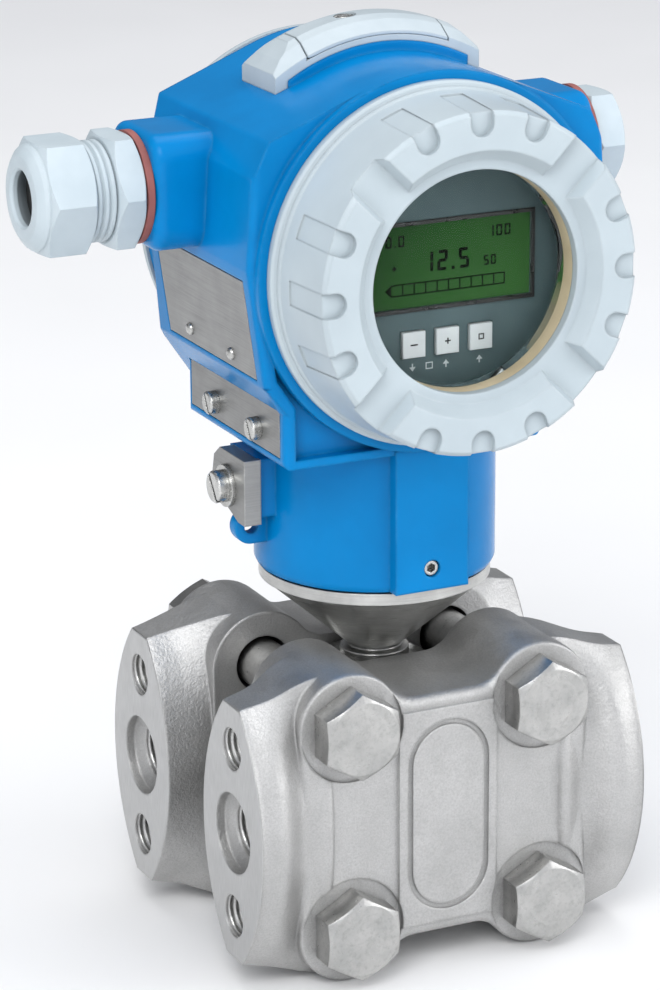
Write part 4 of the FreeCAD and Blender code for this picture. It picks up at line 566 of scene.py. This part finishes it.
def display_content():
    """Plain numbers and a bar graph on the panel."""
    shapes = []
    shapes += number("100", SHIFT_X + 10.6, 135.6, 1.5, 2.6, 0.42, 0.6)
    shapes += number("0.0", SHIFT_X - 14.8, 135.6, 1.5, 2.6, 0.42, 0.6)
    shapes += number("12.5", SHIFT_X - 5.6, 129.2, 2.6, 4.7, 0.75, 1.0)
    shapes += number("50", SHIFT_X + 9.6, 129.2, 1.3, 2.3, 0.38, 0.5)
    shapes.append(rectangle(SHIFT_X - 13.2, 130.6, SHIFT_X - 12.1, 131.0))
    shapes.append(rectangle(SHIFT_X - 12.85, 130.25, SHIFT_X - 12.45, 131.35))
    left, right, low, high, line = SHIFT_X - 15.0, SHIFT_X + 15.0, 124.4, 127.2, 0.32
    shapes.append(rectangle(left + 1.4, low, right, low + line))
    shapes.append(rectangle(left + 1.4, high - line, right, high))
    shapes.append(rectangle(right - line, low, right, high))
    middle = (low + high) / 2
    shapes.append([(left, middle), (left + 1.6, low), (left + 1.6, high)])
    for k in range(1, 10):
        x = left + 1.6 + k * (right - left - 1.6) / 10
        shapes.append(rectangle(x - line / 2, low + line, x + line / 2, high - line))
    verts, faces = merged([flat_bar(points, LCD_FACE_Y - 0.06, 0.12) for points in shapes])
    mesh_object("display_figures", verts, faces, LOOKS["ink"], "housing")


def display_frame():
    """Raised dark lip round the panel."""
    rim = []
    x0, x1, z0, z1 = SHIFT_X - 21.2, SHIFT_X + 21.2, 121.6, 140.4
    band = 0.9
    for points in (rectangle(x0 - band, z1, x1 + band, z1 + band),
                   rectangle(x0 - band, z0 - band, x1 + band, z0),
                   rectangle(x0 - band, z0, x0, z1), rectangle(x1, z0, x1 + band, z1)):
        rim.append(flat_bar(points, DISPLAY_FACE_Y - 0.35, 0.4))
    verts, faces = merged(rim)
    mesh_object("display_rim", verts, faces, LOOKS["potting"], "housing")


def key_marks():
    """Generic signs on the display's keys and small arrows under them."""
    for k, x in enumerate((-8.4, 0.0, 8.4)):
        centre = SHIFT_X + x
        z = 113.3
        if k == 0:
            shapes = [rectangle(centre - 0.9, z - 0.16, centre + 0.9, z + 0.16)]
        elif k == 1:
            shapes = [rectangle(centre - 0.7, z - 0.16, centre + 0.7, z + 0.16),
                      rectangle(centre - 0.16, z + 0.16, centre + 0.16, z + 0.7),
                      rectangle(centre - 0.16, z - 0.7, centre + 0.16, z - 0.16)]
        else:
            shapes = [rectangle(centre - 0.7, z - 0.7, centre + 0.7, z - 0.42),
                      rectangle(centre - 0.7, z + 0.42, centre + 0.7, z + 0.7),
                      rectangle(centre - 0.7, z - 0.42, centre - 0.42, z + 0.42),
                      rectangle(centre + 0.42, z - 0.42, centre + 0.7, z + 0.42)]
        verts, faces = merged([flat_bar(points, DISPLAY_FACE_Y - 0.96, 0.1) for points in shapes])
        mesh_object("key_sign_%d" % (k + 1), verts, faces, LOOKS["potting"], "display_key_%d" % (k + 1))
    marks = []
    for x, way in ((-8.4, -1), (0.0, 1), (8.4, 1)):
        centre, z = SHIFT_X + x, 107.9
        marks.append([(centre - 0.8, z - way * 0.1), (centre + 0.8, z - way * 0.1), (centre, z + way * 0.9)])
        marks.append(rectangle(centre - 0.16, z - 0.9 if way > 0 else z + 0.1, centre + 0.16,
                               z - 0.1 if way > 0 else z + 0.9))
    ring = SHIFT_X - 4.2
    for x0, z0, x1, z1 in ((-0.9, -0.8, 0.9, -0.55), (-0.9, 0.55, 0.9, 0.8), (-0.9, -0.55, -0.65, 0.55),
                           (0.65, -0.55, 0.9, 0.55)):
        marks.append(rectangle(ring + x0, 107.9 + z0, ring + x1, 107.9 + z1))
    verts, faces = merged([flat_bar(points, DISPLAY_FACE_Y - 0.06, 0.12) for points in marks])
    mesh_object("display_marks", verts, faces, LOOKS["mark"], "housing")


flange_threads()
display_content()
display_frame()
key_marks()


# ------------------------------------------------------------------ floor, light and camera
def floor_look():
    look = Look("pale_floor").set(Metallic=0.0)
    look.drive("Base Color", look.blend(look.noise(3.0), (0.86, 0.86, 0.86), (0.90, 0.90, 0.90)))
    look.drive("Roughness", look.span(look.noise(9.0), 0.3, 0.7, 0.55, 0.65))
    return look.material


# Name, place in metres, side of the square in metres and power in watts of each soft light.
LIGHTS = (("key", (-0.75, -1.05, 1.25), 0.9, 15.0), ("fill", (1.25, -0.85, 0.55), 0.9, 8.0),
          ("top", (0.1, 0.35, 1.5), 1.1, 8.0), ("left", (-1.4, -0.9, 0.40), 0.7, 2.0))


def studio():
    """Pale sweep, large soft lights and a bright, slightly graded surround."""
    floor_z = CAD_BOX[0].z
    mesh = bpy.data.meshes.new("floor")
    reach = 12.0
    mesh.from_pydata([(-reach, -reach, floor_z), (reach, -reach, floor_z), (reach, reach, floor_z),
                      (-reach, reach, floor_z)], [], [(0, 1, 2, 3)])
    floor = bpy.data.objects.new("floor", mesh)
    bpy.context.scene.collection.objects.link(floor)
    paint(floor, floor_look())
    aim = Vector((0.05, 0.0, 0.06))
    for name, place, size, energy in LIGHTS:
        light = bpy.data.lights.new(name, "AREA")
        light.shape = "SQUARE"
        light.size = size
        light.energy = energy
        obj = bpy.data.objects.new(name, light)
        obj.location = place
        obj.rotation_mode = "QUATERNION"
        obj.rotation_quaternion = (aim - Vector(place)).to_track_quat("-Z", "Y")
        bpy.context.scene.collection.objects.link(obj)
    world = bpy.data.worlds.new("surround")
    world.use_nodes = True
    background = world.node_tree.nodes["Background"]
    background.inputs["Color"].default_value = (0.93, 0.95, 1.0, 1.0)
    nodes, links = world.node_tree.nodes, world.node_tree.links
    split = nodes.new("ShaderNodeSeparateXYZ")
    links.new(nodes.new("ShaderNodeTexCoord").outputs["Generated"], split.inputs[0])
    ramp = nodes.new("ShaderNodeMapRange")
    ramp.clamp = True
    links.new(split.outputs["Y"], ramp.inputs["Value"])
    for slot, number in zip(("From Min", "From Max", "To Min", "To Max"), (-0.2, 0.7, 0.95, 0.18)):
        ramp.inputs[slot].default_value = number
    links.new(ramp.outputs["Result"], background.inputs["Strength"])
    bpy.context.scene.world = world


def camera():
    """Camera at the photograph's viewing angle."""
    data = bpy.data.cameras.new("camera")
    data.sensor_width = 36.0
    data.lens = 135.25
    data.clip_start, data.clip_end = 0.05, 60.0
    obj = bpy.data.objects.new("camera", data)
    back = Vector((-0.41006, -0.85957, 0.30495)).normalized()
    right = Vector((0.90182, -0.43207, -0.00524))
    right = (right - back * right.dot(back)).normalized()
    up = back.cross(right)
    turn = Matrix((right, up, back)).transposed().to_4x4()
    obj.matrix_world = Matrix.Translation((-0.318656, -0.747645, 0.333374)) @ turn
    bpy.context.scene.collection.objects.link(obj)
    bpy.context.scene.camera = obj


studio()
camera()
bpy.context.scene.view_settings.view_transform = "Standard"
